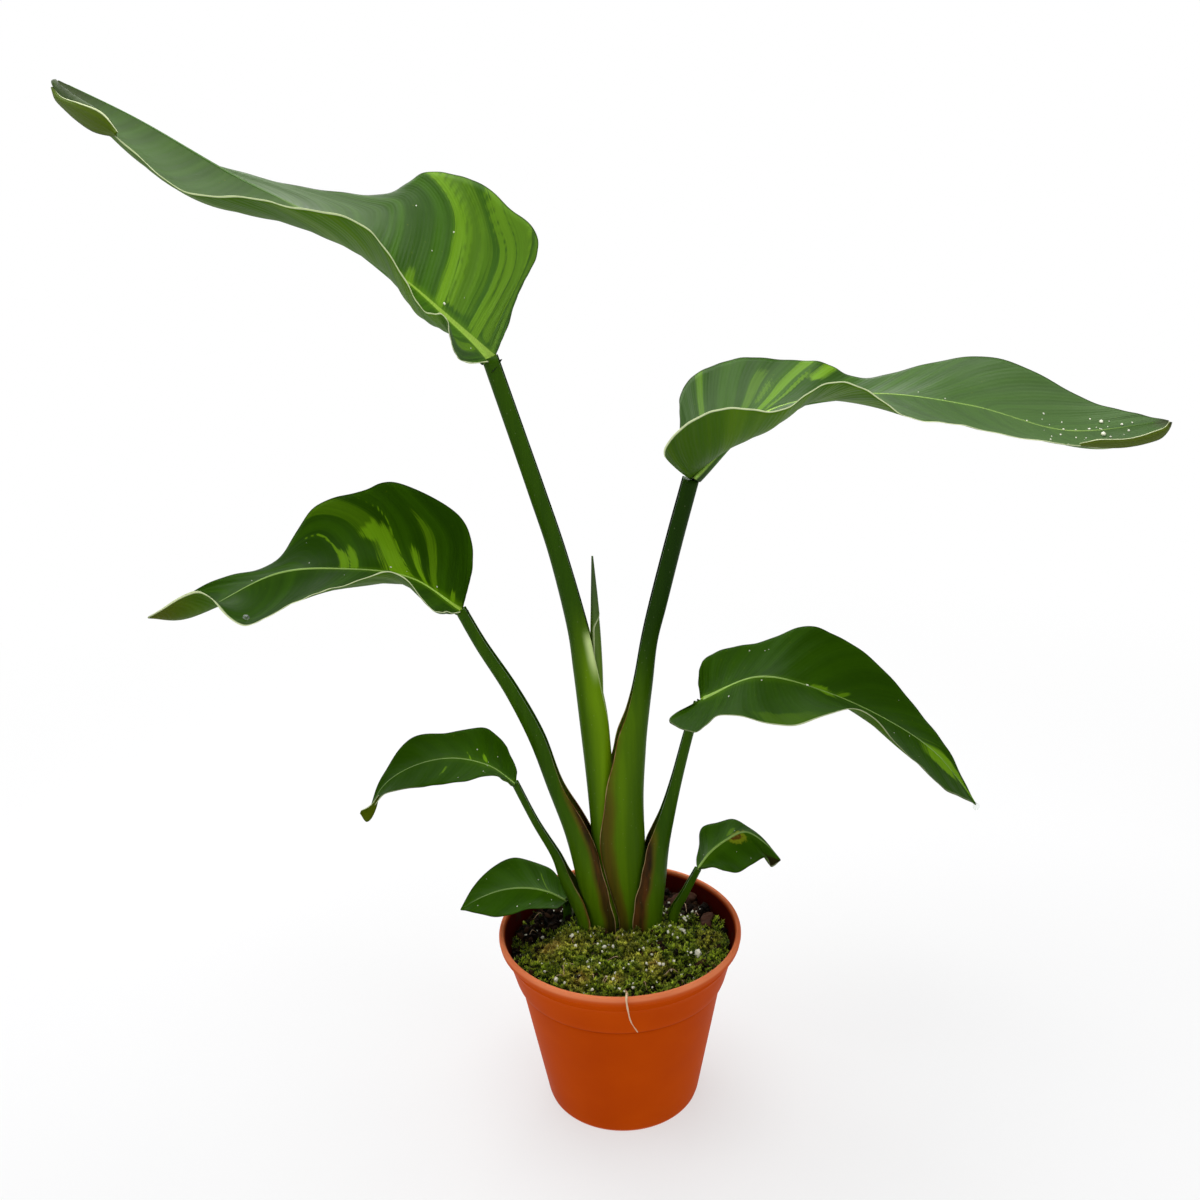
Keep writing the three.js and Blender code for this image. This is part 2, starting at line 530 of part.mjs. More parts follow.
/** A solid between a flat or stepped underside and a height field, on rings round the pot's axis. */
function soilGeometry() {
  const bandFoot = POT.height - POT.bandHeight;
  const bottom = POT.floor + GAP;
  const rim = potInside(SOIL.level) - GAP - 0.4;
  const points = [new THREE.Vector3(0, 0, soilHeight(0, 0))];
  for (let ring = 1; ring <= SOIL.rings; ring++) {
    for (let k = 0; k < SOIL.sides; k++) {
      const angle = 2 * Math.PI * k / SOIL.sides;
      const [x, y] = [Math.cos(angle) * rim * ring / SOIL.rings, Math.sin(angle) * rim * ring / SOIL.rings];
      const z = ring < SOIL.rings ? soilHeight(x, y) : SOIL.level - 1.5;
      points.push(new THREE.Vector3(x, y, z));
    }
  }
  const wallRings = [bandFoot + 0.6, bandFoot - 1.6 - GAP, bottom + 1.5, bottom];
  for (const z of wallRings) {
    const radius = potInside(z) - GAP - (z === bottom ? 1.5 : 0.2);
    for (let k = 0; k < SOIL.sides; k++) {
      const angle = 2 * Math.PI * k / SOIL.sides;
      points.push(new THREE.Vector3(Math.cos(angle) * radius, Math.sin(angle) * radius, z));
    }
  }
  points.push(new THREE.Vector3(0, 0, bottom));
  const at = (ring, k) => 1 + (ring - 1) * SOIL.sides + (k % SOIL.sides);
  const rings = SOIL.rings + wallRings.length;
  const triangles = [];
  for (let k = 0; k < SOIL.sides; k++) {
    triangles.push([0, at(1, k), at(1, k + 1)]);
    for (let ring = 1; ring < rings; ring++) {
      triangles.push(...quad(at(ring, k), at(ring + 1, k), at(ring + 1, k + 1), at(ring, k + 1)));
    }
    triangles.push([at(rings, k), points.length - 1, at(rings, k + 1)]);
  }
  return geometryOf(points, triangles);
}

/** The plain holes that the stalks stand in, from the clump's foot up. */
function stalkHoles() {
  const depth = 60;
  return HOLES.map(({ x, y, halfX, halfY }) => new THREE.CylinderGeometry(1, 1, depth, 24)
    .rotateX(Math.PI / 2)
    .scale(halfX, halfY, 1)
    .translate(x, y, CLUMP.footZ - GAP + depth / 2))
    .map(solidOf)
    .reduce((all, hole) => all.add(hole));
}

/** The moss: cushions round the clump that thin out to a ragged edge. */
function mossGeometry() {
  const points = [];
  const triangles = [];
  const under = SOIL.level - MOSS.skirt;
  const heightAt = (x, y, share) => {
    const cushions = Math.abs(Math.sin(0.2 * x + 0.7) * Math.cos(0.23 * y + 0.4))
      + 0.45 * Math.sin(0.5 * x + 0.35 * y) * Math.sin(0.4 * y - 0.2 * x);
    return SOIL.level + MOSS.height * (0.35 + 0.6 * cushions) * (1 - share ** 6) + 2 - 6 * share ** 10;
  };
  points.push(new THREE.Vector3(CLUMP.x, CLUMP.y, SOIL.level + 3));
  points.push(new THREE.Vector3(CLUMP.x, CLUMP.y, under));
  for (let ring = 1; ring <= MOSS.rings; ring++) {
    for (let k = 0; k < MOSS.sides; k++) {
      const angle = 2 * Math.PI * k / MOSS.sides;
      const share = ring / MOSS.rings;
      const front = Math.max(0, -Math.sin(angle));
      const ragged = 0.12 * Math.sin(3 * angle + 1) + 0.07 * Math.sin(7 * angle);
      const reach = MOSS.reach * (0.86 + 0.75 * front + ragged);
      const x = CLUMP.x + reach * share * Math.cos(angle);
      const y = CLUMP.y + reach * share * Math.sin(angle);
      const pull = Math.min(1, (potInside(SOIL.level) - 3) / Math.hypot(x, y));
      const z = heightAt(x * pull, y * pull, share);
      points.push(new THREE.Vector3(x * pull, y * pull, z), new THREE.Vector3(x * pull, y * pull, under));
    }
  }
  const top = (ring, k) => 2 + 2 * ((ring - 1) * MOSS.sides + (k % MOSS.sides));
  for (let k = 0; k < MOSS.sides; k++) {
    triangles.push([0, top(1, k), top(1, k + 1)]);
    triangles.push([1, top(1, k + 1) + 1, top(1, k) + 1]);
    for (let ring = 1; ring < MOSS.rings; ring++) {
      const corners = [top(ring, k), top(ring + 1, k), top(ring + 1, k + 1), top(ring, k + 1)];
      triangles.push(...quad(...corners));
      triangles.push(...quad(...corners.map((corner) => corner + 1).reverse()));
    }
    const [a, b] = [top(MOSS.rings, k), top(MOSS.rings, k + 1)];
    triangles.push(...quad(a, a + 1, b + 1, b));
  }
  return geometryOf(points, triangles);
}

/** A flat chip of bark with uneven rounded sides. */
function barkChip({ at, size, turn, tilt }, grow = 0) {
  const chip = new THREE.SphereGeometry(0.5, 10, 6);
  const positions = chip.attributes.position;
  for (let i = 0; i < positions.count; i++) {
    const p = new THREE.Vector3().fromBufferAttribute(positions, i);
    const square = (v) => Math.sign(v) * Math.abs(v * 2) ** 0.5 / 2;
    p.set(square(p.x), square(p.y), square(p.z));
    p.y += 0.12 * Math.sin(5 * p.x);
    positions.setXYZ(i, ...p.toArray());
  }
  return chip.scale(...size.map((side) => side + 2 * grow))
    .rotateX(radians(tilt))
    .rotateZ(radians(turn))
    .translate(...at);
}

// Assembly

const plant = new THREE.Group();

function addPiece(name, geometry, color, roughness = 0.7) {
  const material = new THREE.MeshStandardMaterial({ color, roughness, metalness: 0, flatShading: true });
  const mesh = new THREE.Mesh(geometry, material);
  mesh.name = name;
  plant.add(mesh);
}

const holes = stalkHoles();
const chipRoom = BARK_CHIPS.map((chip) => solidOf(barkChip(chip, GAP))).reduce((all, chip) => all.add(chip));
const rootletRoom = solidOf(makeRootlet(GAP));
const soil = solidOf(soilGeometry()).subtract(holes).subtract(rootsSolid(GAP)).subtract(chipRoom);
const moss = solidOf(mossGeometry()).subtract(holes).subtract(chipRoom).subtract(rootletRoom)
  .subtract(solidOf(soilGeometry()).translate(0, 0, GAP));

addPiece('pot', makePot(), COLOURS.pot, 0.45);
addPiece('soil', geometryOfSolid(soil), COLOURS.soil, 0.95);
addPiece('moss', geometryOfSolid(moss), COLOURS.moss, 0.95);
addPiece('roots', geometryOfSolid(rootsSolid(0)), COLOURS.root);
addPiece('rootlet', makeRootlet(), COLOURS.root);
BARK_CHIPS.forEach((chip, i) => addPiece(`bark_chip_${i + 1}`, barkChip(chip), COLOURS.bark, 0.9));

for (const [name, blade] of Object.entries(BLADES)) {
  addPiece(`blade_${name}`, bladeGeometry(blade), COLOURS.blade, 0.5);
}

for (const [name, stalk] of Object.entries(STALKS)) {
  const out = name.endsWith('left') ? -1 : 1;
  const solid = solidOf(stalkGeometry(stalk, out)).subtract(bladeRoom(BLADES[name]));
  addPiece(`stalk_${name}`, geometryOfSolid(solid), COLOURS.stalk, 0.5);
}

addPiece('new_leaf_spear', makeSpear(), COLOURS.spear, 0.5);

export default plant;
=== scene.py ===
import math
from collections import namedtuple

import bpy
import numpy as np
from mathutils import Matrix, Vector


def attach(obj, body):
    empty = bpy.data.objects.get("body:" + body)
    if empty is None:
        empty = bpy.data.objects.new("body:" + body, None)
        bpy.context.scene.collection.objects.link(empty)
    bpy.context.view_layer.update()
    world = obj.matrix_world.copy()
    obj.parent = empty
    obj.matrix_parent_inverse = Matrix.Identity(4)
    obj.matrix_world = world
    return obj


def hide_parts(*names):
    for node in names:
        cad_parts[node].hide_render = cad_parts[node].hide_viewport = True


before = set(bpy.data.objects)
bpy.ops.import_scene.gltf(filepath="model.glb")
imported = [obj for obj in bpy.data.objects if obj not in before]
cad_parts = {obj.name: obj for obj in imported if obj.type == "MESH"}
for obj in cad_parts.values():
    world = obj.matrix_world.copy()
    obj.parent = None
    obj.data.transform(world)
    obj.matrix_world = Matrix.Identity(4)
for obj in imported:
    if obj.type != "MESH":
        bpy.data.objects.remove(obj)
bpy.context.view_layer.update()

# A young bird of paradise in a round nursery pot. The tables below are in millimetres, in the
# frame's own axes: +Z up, -Y towards the front. Meshes are made in metres at the end.

MM = 0.001
rng = np.random.default_rng(7)

# Driving sizes, the same as the solids'

POT = dict(height=92, lip=60, lip_height=4.5, band_top=58.8, band_foot=52.2, band_height=24.7,
           body_top=50.6, base=38.2, chamfer=1.5, wall=1.3, floor=2.2,
           drain_holes=8, drain_radius=4.5, drain_circle=27, sides=160)
CLUMP = (0, 14)
SOIL = dict(level=81.5, lump=1.3)
MOSS = dict(height=5.5, reach=39)

# A blade is a midrib with a back and a front margin, from the base to the tip. A margin has the two
# ends of the midrib and the seven places between them. Sag is how far a half bows downwards.
BLADES = {
    "top_left": dict(
        midrib=[(-49, 15, 368), (-81, 8, 401), (-113, 5, 427), (-152, 9, 448), (-191, 17, 471),
                (-228, 30, 489)],
        back=[(-36, 30, 398), (-28, 37, 420), (-49, 44, 441), (-75, 53, 449), (-106, 58, 440),
              (-163, 56, 452), (-214, 38, 468)],
        front=[(-61, -14, 372), (-62, -38, 390), (-71, -50, 397), (-86, -55, 424), (-121, -52, 435),
               (-160, -40, 442), (-198, -14, 471)],
        back_sag=[0.1, 0.12, 0.05, 0.1], front_sag=[0.02, 0.08, 0.1, 0.3]),
    "top_right": dict(
        midrib=[(38, 15, 313), (69, 6, 343), (112, 0, 351), (157, -3, 345), (200, -4, 333),
                (244, -5, 336)],
        back=[(34, 32, 337), (40, 50, 353), (64, 57, 362), (99, 55, 360), (126, 49, 352), (174, 34, 362),
              (219, 13, 342)],
        front=[(25, -3, 330), (42, -30, 350), (68, -45, 352), (92, -49, 363), (117, -50, 349),
               (151, -44, 341), (207, -26, 329)],
        back_sag=[0.1, 0.12, 0.1, 0.1], front_sag=[0.2, 0.12, 0.02, 0.15]),
    "mid_left": dict(
        midrib=[(-70, 15, 253), (-91, 7, 272), (-119, 1, 279), (-150, -4, 279), (-188, -8, 262),
                (-208, -9, 262)],
        back=[(-65, 29, 273), (-71, 40, 293), (-99, 40, 310), (-117, 44, 306), (-140, 43, 299),
              (-162, 36, 274), (-187, 17, 270)],
        front=[(-73, -9, 260), (-78, -28, 269), (-92, -38, 288), (-113, -46, 284), (-131, -46, 279),
               (-156, -38, 266), (-178, -24, 278)],
        back_sag=[0.1, 0.15, 0.1, 0.05], front_sag=[0.05, 0.06, 0.03, 0.3]),
    "mid_right": dict(
        midrib=[(42, 15, 205), (69, 9, 218), (98, 4, 212), (127, -1, 199), (151, -5, 182),
                (171, -8, 156)],
        back=[(43, 35, 213), (52, 50, 216), (74, 52, 220), (100, 46, 230), (121, 38, 222), (146, 28, 197),
              (161, 13, 177)],
        front=[(26, 2, 201), (35, -22, 204), (47, -32, 216), (76, -37, 213), (108, -36, 218),
               (130, -35, 195), (150, -25, 174)],
        back_sag=[0.1, 0.1, 0.1, 0.1], front_sag=[0.1, 0.05, 0.05, 0.02]),
    "low_left": dict(
        midrib=[(-49, 13, 164), (-61, 9, 176), (-78, 6, 182), (-96, 3, 180), (-111, 1, 171),
                (-121, 0, 154)],
        back=[(-49, 24, 167), (-53, 31, 173), (-57, 32, 180), (-65, 31, 187), (-82, 27, 186),
              (-100, 20, 187), (-113, 12, 172)],
        front=[(-49, 2, 168), (-52, -8, 177), (-57, -13, 182), (-69, -16, 180), (-82, -17, 180),
               (-94, -15, 177), (-110, -10, 171)],
        back_sag=[0.1, 0.15, 0.1, 0.1], front_sag=[0.05, 0.05, 0, 0.1]),
    "base_left": dict(
        midrib=[(-27, 14, 98), (-35, 9, 106), (-45, 5, 111), (-56, 1, 113), (-67, -2, 111),
                (-78, -5, 106)],
        back=[(-27, 22, 97), (-30, 29, 101), (-35, 31, 107), (-43, 27, 113), (-53, 21, 119),
              (-63, 14, 118), (-72, 5, 113)],
        front=[(-28, 2, 103), (-32, -7, 107), (-39, -11, 109), (-47, -13, 109), (-56, -13, 107),
               (-64, -12, 107), (-72, -9, 107)],
        back_sag=[0.1, 0.15, 0.1, 0.1], front_sag=[0.1, 0.08, 0.05, 0.05]),
    "base_right": dict(
        midrib=[(40, 12, 115), (46, 10, 125), (54, 8, 133), (63, 6, 138), (72, 4, 133), (80, 2, 124)],
        back=[(40, 21, 115), (42, 28, 120), (44, 30, 128), (51, 29, 131), (59, 26, 135), (67, 20, 133),
              (75, 11, 128)],
        front=[(41, 4, 120), (46, -3, 124), (51, -7, 125), (57, -9, 125), (64, -9, 128), (71, -6, 130),
               (75, -2, 123)],
        back_sag=[0.1, 0.1, 0.1, 0.1], front_sag=[0.1, 0.1, 0.1, 0.1]),
}

# A stalk is a row of sections from its foot to its blade: the middle, the half width and half
# depth, the thickness of its back, the wings' reach in degrees, and how solid it is.
STALKS = {
    "top_left": [
        ((-3.5, 14, 70), (6.8, 7), 3, 135, 0), ((-5, 14, 120), (7, 7), 3, 140, 0),
        ((-7, 14.5, 160), (7, 6.8), 3.5, 150, 0), ((-9.5, 15, 196), (7.2, 6.5), 4, 157, 0),
        ((-12, 15, 222), (6.8, 6), 4.5, 138, 0.2), ((-15, 15, 245), (6.2, 5.2), 5, 125, 0.9),
        ((-23, 15, 280), (5.2, 4.6), 5, 125, 1), ((-31, 15, 308), (5, 4.4), 5, 125, 1),
        ((-39, 15, 335), (4.8, 4.1), 5, 125, 1), ((-49.5, 15, 370), (4.6, 4), 4, 125, 1)],
    "top_right": [
        ((3.5, 14, 70), (10.5, 10.4), 2.2, 110, 0), ((3.5, 14, 95), (10.5, 10.4), 2.2, 118, 0),
        ((-0.4, 14, 125), (14.4, 9.6), 3, 120, 0), ((0.6, 14, 155), (13.1, 9.4), 3.5, 120, 0),
        ((4.7, 14.5, 180), (10.6, 8.4), 4, 120, 0), ((10.3, 15, 200), (7, 6.4), 5, 125, 0.5),
        ((13.5, 15, 216), (5.8, 5), 5, 125, 1), ((16.8, 15, 236), (5, 4.4), 5, 125, 1),
        ((21.4, 15, 255), (5.2, 4.4), 5, 125, 1), ((29.5, 15, 286), (5, 4.2), 4, 125, 1),
        ((37, 15, 313), (4.8, 4), 4, 125, 1)],
    "mid_left": [
        ((-4.5, 14, 70), (12.5, 12.8), 1.8, 105, 0), ((-5.5, 14, 92), (12.5, 12.6), 2, 107, 0),
        ((-11.5, 14, 112), (9.6, 11.8), 2.4, 120, 0), ((-18.8, 14, 137), (7.2, 8.6), 3.5, 142, 0.1),
        ((-28.7, 14.5, 162), (5, 5.4), 4, 125, 0.7), ((-36.8, 15, 188), (5, 4.4), 4.4, 125, 1),
        ((-48.2, 15, 213), (4.2, 3.8), 4, 125, 1), ((-61.2, 15, 236), (3.6, 3.2), 4, 125, 1),
        ((-70, 15, 254), (3.3, 2.9), 3, 125, 1)],
    "mid_right": [
        ((11, 14, 70), (10.5, 14.6), 2.2, 115, 0), ((11.8, 14, 92), (10.5, 14), 2.4, 120, 0),
        ((15.5, 14, 110), (8.7, 11.2), 2.8, 126, 0), ((18.8, 14.5, 127), (7.2, 7.6), 3.5, 128, 0.3),
        ((24.4, 15, 145), (4.8, 4.2), 4, 125, 1), ((29.3, 15, 163), (3.5, 3.2), 4, 125, 1),
        ((35.4, 15, 187), (3, 2.6), 3, 125, 1), ((40.4, 15, 203.2), (2.8, 2.4), 3, 125, 1)],
    "low_left": [
        ((-9, 14, 70), (12.3, 15.2), 1.6, 62, 0), ((-10.5, 14, 90), (11.8, 14.6), 1.6, 64, 0),
        ((-24, 14, 108), (5, 6.4), 2.5, 120, 0.4), ((-30.3, 14, 124), (3, 3), 3, 125, 1),
        ((-39.8, 13.5, 143), (2.3, 2.2), 3, 125, 1), ((-49, 13, 165), (2.2, 2), 2, 125, 1)],
    "base_left": [
        ((-25.5, 22, 70), (3.2, 3), 3, 125, 1), ((-26, 21, 86), (2.8, 2.8), 3, 125, 1),
        ((-26.8, 16, 96.6), (2, 1.9), 2, 125, 1)],
    "base_right": [
        ((26, 13, 70), (3.2, 3.2), 3, 125, 1), ((27, 13, 88), (3.2, 3), 3, 125, 1),
        ((33, 12.5, 101), (2.5, 2.2), 2, 125, 1), ((39.8, 12, 115), (2.1, 1.8), 2, 125, 1)],
}

SPEAR = dict(path=[(-7.3, 14.6, 168), (-7.3, 15, 200), (-7.3, 15, 224), (-7.6, 15, 250),
                   (-8, 15, 278)],
             radii=[2.2, 2.4, 2.5, 1.9, 0.4], overlap=0.18)
ROOTLET = [(1.6, -44, 84.6), (2.2, -50, 86.5), (2, -55, 91), (1.7, -58.6, 93.2), (1.5, -61, 91.6),
           (2.2, -61.2, 86), (3.4, -60.5, 80), (6.2, -59.6, 74)]
BARK_CHIPS = [
    dict(at=(33, 33, 84.5), size=(17, 9, 4), turn=25, tilt=6),
    dict(at=(45, 14, 84), size=(13, 7, 3.5), turn=80, tilt=-5),
    dict(at=(16, 43, 84), size=(12, 8, 3.5), turn=-20, tilt=5),
]

# Lime streaks follow the side veins. Each has its half of the blade (back is -1, front is 1), the
# place on the midrib where its vein starts (0 is the base, 1 the tip), its width there, the stretch
# that it covers from the midrib to the margin, and its strength.
STREAKS = {
    "top_left": [(-1, 0.372, 0.017, 0, 1.2, 1), (-1, 0.325, 0.050, 0.1, 1.3, 0.42),
                 (-1, 0.345, 0.007, 0.1, 1.2, 0.75), (-1, 0.312, 0.006, 0.25, 1.2, 0.6),
                 (-1, 0.262, 0.010, 0.05, 1.1, 0.75), (-1, 0.235, 0.020, 0, 1.3, 0.85),
                 (-1, 0.18, 0.050, 0.1, 1.3, 0.6), (-1, 0.155, 0.007, 0.3, 1.2, 0.9),
                 (-1, 0.09, 0.040, 0, 1.3, 0.5), (-1, 0.46, 0.014, -0.1, 0.3, 0.6),
                 (1, 0.2, 0.03, 0.1, 0.8, 0.5)],
    "top_right": [(-1, 0.195, 0.014, 0, 1.2, 0.5), (-1, 0.345, 0.016, 0.3, 1, 0.3),
                  (-1, 0.375, 0.007, 0.4, 0.9, 0.35), (-1, 0.405, 0.014, 0.2, 1.3, 0.6),
                  (-1, 0.452, 0.020, 0.75, 1.4, 0.8), (-1, 0.430, 0.006, 0.2, 1, 0.5),
                  (-1, 0.655, 0.014, -0.1, 0.25, 0.8),
                  (1, 0.40, 0.014, 0, 0.8, 0.8), (1, 0.52, 0.010, 0, 0.7, 0.6)],
    "mid_left": [(-1, 0.486, 0.058, 0, 0.80, 1), (-1, 0.372, 0.015, 0, 0.62, 1),
                 (-1, 0.320, 0.018, 0, 0.95, 0.55), (-1, 0.612, 0.012, 0, 0.6, 0.85),
                 (-1, 0.638, 0.015, 0, 0.55, 0.85), (-1, 0.436, 0.004, 0, 1.1, 0.9),
                 (-1, 0.648, 0.004, 0.3, 1, 0.8), (-1, 0.52, 0.05, 0.5, 1.2, 0.3),
                 (-1, 0.2, 0.03, 0, 0.35, 0.8)],
    "mid_right": [(-1, 0.625, 0.030, -0.1, 0.26, 0.6), (-1, 0.672, 0.010, -0.1, 0.4, 0.55),
                  (1, 0.640, 0.022, -0.1, 0.25, 0.6), (-1, 0.875, 0.050, 0, 1.0, 0.85),
                  (1, 0.90, 0.05, -0.1, 0.45, 0.8), (-1, 0.94, 0.035, -0.1, 1.0, 0.95),
                  (1, 0.47, 0.07, 0.7, 1.4, 0.2)],
    "low_left": [(-1, 0.46, 0.015, 0.12, 0.5, 0.9), (-1, 0.55, 0.005, 0, 0.5, 0.8),
                 (1, 0.63, 0.008, 0.3, 0.8, 0.6)],
    "base_left": [(-1, 0.41, 0.009, 0.1, 0.9, 0.7)],
    "base_right": [(-1, 0.6, 0.03, 0.3, 0.8, 0.5)],
}
# How far the side veins on the back half lean towards the tip, from the midrib out to the margin
LEAN = {"top_left": [0, 0, 0.006, 0.036, 0.13], "mid_left": [0, -0.02, -0.026, 0.0, 0.10],
        "top_right": [0, 0.005, 0.03, 0.055, 0.09]}
PLAIN_LEAN = [0, 0.005, 0.018, 0.04, 0.08]
# Where a margin stands out or in: its half, the place along it, the length of the spot and the depth
EDGES = {
    "top_left": [(-1, 0.325, 0.03, -2.0), (-1, 0.96, 0.02, 1.0), (1, 0.975, 0.02, 1.2),
                 (1, 0.065, 0.03, -5.0)],
    "top_right": [(-1, 0.437, 0.05, -1.8), (1, 0.945, 0.035, 2.6), (1, 0.985, 0.015, 1.6)],
    "mid_right": [(-1, 0.56, 0.05, -1.8)],
}

# Meshes


def curve(points, t):
    """Places on the smooth curve through the points, at shares t from its start to its end."""
    points = np.asarray(points, float)
    if points.ndim == 1:
        points = points[:, None]
    ends = np.vstack([2 * points[:1] - points[1:2], points, 2 * points[-1:] - points[-2:-1]])
    spans = len(points) - 1
    place = np.clip(np.asarray(t, float), 0, 1) * spans
    first = np.minimum(place.astype(int), spans - 1)
    w = (place - first)[..., None]
    p0, p1, p2, p3 = (ends[first + k] for k in range(4))
    t0, t1 = (p2 - p0) / 2, (p3 - p1) / 2
    return p1 + t0 * w + (3 * (p2 - p1) - 2 * t0 - t1) * w**2 + (2 * (p1 - p2) + t0 + t1) * w**3


def value(numbers, t):
    """A smooth value along a row of evenly spaced numbers."""
    return curve(numbers, t)[..., 0]


def unit(v):
    return v / np.maximum(np.linalg.norm(v, axis=-1, keepdims=True), 1e-9)


def tangent(points, t, step=1e-3):
    t = np.asarray(t, float)
    return unit(curve(points, np.minimum(t + step, 1)) - curve(points, np.maximum(t - step, 0)))


def smoothstep(low, high, x):
    s = np.clip((x - low) / (high - low), 0, 1)
    return s * s * (3 - 2 * s)


def grid_faces(rows, columns, wrap=False):
    """Quads of a grid of points, row after row; wrapped ones close round each row."""
    i, j = np.meshgrid(np.arange(rows - 1), np.arange(columns if wrap else columns - 1), indexing="ij")
    k = (j + 1) % columns
    quads = np.stack([i * columns + j, i * columns + k, (i + 1) * columns + k, (i + 1) * columns + j], -1)
    return quads.reshape(-1, 4)


def ring_angles(sides):
    return np.linspace(0, 2 * np.pi, sides, endpoint=False)


def tube_faces(rings, sides):
    """Quads round a row of rings, with a flat cap on the first and the last."""
    ring = np.arange(sides)
    return [grid_faces(rings, sides, wrap=True), ring[::-1][None], ((rings - 1) * sides + ring)[None]]


def fan(centre, start, sides, turned=False):
    """Triangles from one point to a closed ring of points, the first of which is start."""
    ring = start + np.arange(sides)
    after = np.roll(ring, -1)
    return np.stack([np.full(sides, centre), *((after, ring) if turned else (ring, after))], -1)


def ball_faces(rings, sides):
    """Faces of a round body: rings of points, then its two poles, below and above them."""
    count = rings * sides
    return [grid_faces(rings, sides, wrap=True), fan(count, 0, sides, turned=True),
            fan(count + 1, count - sides, sides)]


class Shape:
    """Points, faces, a material number for each face and named values for each point."""

    def __init__(self):
        self.points, self.faces, self.kinds, self.values = [], [], [], {}
        self.count = 0

    def add(self, points, blocks, kinds=0, **values):
        """More points, with blocks of faces, a kind for all or each of these, and values."""
        points = np.asarray(points, float).reshape(-1, 3)
        for name in set(values) | set(self.values):
            given = np.asarray(values.get(name, 0), float).ravel()
            column = np.broadcast_to(given, len(points)) if given.size == 1 else given
            self.values.setdefault(name, [np.zeros(self.count)]).append(column)
        self.points.append(points)
        for block, kind in zip(blocks, np.broadcast_to(kinds, len(blocks))):
            self.faces.append(block + self.count)
            self.kinds.append(np.full(len(block), kind))
        self.count += len(points)

    def build(self, name, materials, replaces=(), smooth=True):
        """The piece, in metres, with its values as attributes that its materials read."""
        mesh = bpy.data.meshes.new(name)
        points = np.vstack(self.points) * MM
        loops = np.concatenate([block.ravel() for block in self.faces])
        sizes = np.concatenate([np.full(len(block), block.shape[1]) for block in self.faces])
        starts = np.concatenate([[0], np.cumsum(sizes)[:-1]])
        mesh.vertices.add(len(points))
        mesh.vertices.foreach_set("co", points.ravel())
        mesh.loops.add(len(loops))
        mesh.loops.foreach_set("vertex_index", loops.astype(np.int32))
        mesh.polygons.add(len(sizes))
        mesh.polygons.foreach_set("loop_start", starts.astype(np.int32))
        mesh.polygons.foreach_set("material_index", np.concatenate(self.kinds).astype(np.int32))
        mesh.update(calc_edges=True)
        mesh.validate()
        mesh.polygons.foreach_set("use_smooth", np.full(len(sizes), smooth))
        for key, columns in self.values.items():
            layer = mesh.attributes.new(key, "FLOAT", "POINT")
            layer.data.foreach_set("value", np.concatenate(columns).astype(np.float32))
        for material in materials:
            mesh.materials.append(material)
        piece = bpy.data.objects.new(name, mesh)
        bpy.context.scene.collection.objects.link(piece)
        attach(piece, "root")
        if replaces:
            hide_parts(*replaces)
        return piece


def tube(shape, path, radius, steps, sides):
    """A closed tube along a smooth path, with a radius for each share of its length."""
    t = np.linspace(0, 1, steps + 1)
    along = tangent(path, t)
    helper = np.where(np.abs(along[:, :1]) > 0.8, [[0, 0, 1.0]], [[1.0, 0, 0]])
    a = unit(helper - along * np.sum(helper * along, 1, keepdims=True))
    b = np.cross(along, a)
    angle = ring_angles(sides)[None, :, None]
    r = np.broadcast_to(radius(t), t.shape)[:, None, None]
    ring = r * (a[:, None] * np.cos(angle) + b[:, None] * np.sin(angle))
    shape.add(curve(path, t)[:, None] + ring, tube_faces(steps + 1, sides))


def add_sheet(shape, front, back, kinds=0, turned=False, **facts):
    """A thin closed sheet between two grids of points. The kinds belong to its front, its back and
    its edge; turned, its faces go round the other way."""
    rows, columns = front.shape[:2]
    count = rows * columns
    around = np.concatenate([np.arange(columns - 1), np.arange(rows - 1) * columns + columns - 1,
                             count - 1 - np.arange(columns - 1), np.arange(rows - 1, 0, -1) * columns])
    after = np.roll(around, -1)
    faces = grid_faces(rows, columns)
    blocks = [faces, faces[:, ::-1] + count, np.stack([around, around + count, after + count, after], -1)]
    if turned:
        blocks = [block[:, ::-1] for block in blocks]
    shape.add(np.concatenate([front, back]), blocks, kinds,
              **{key: np.broadcast_to(v, (2, rows, columns)) for key, v in facts.items()})


# Materials


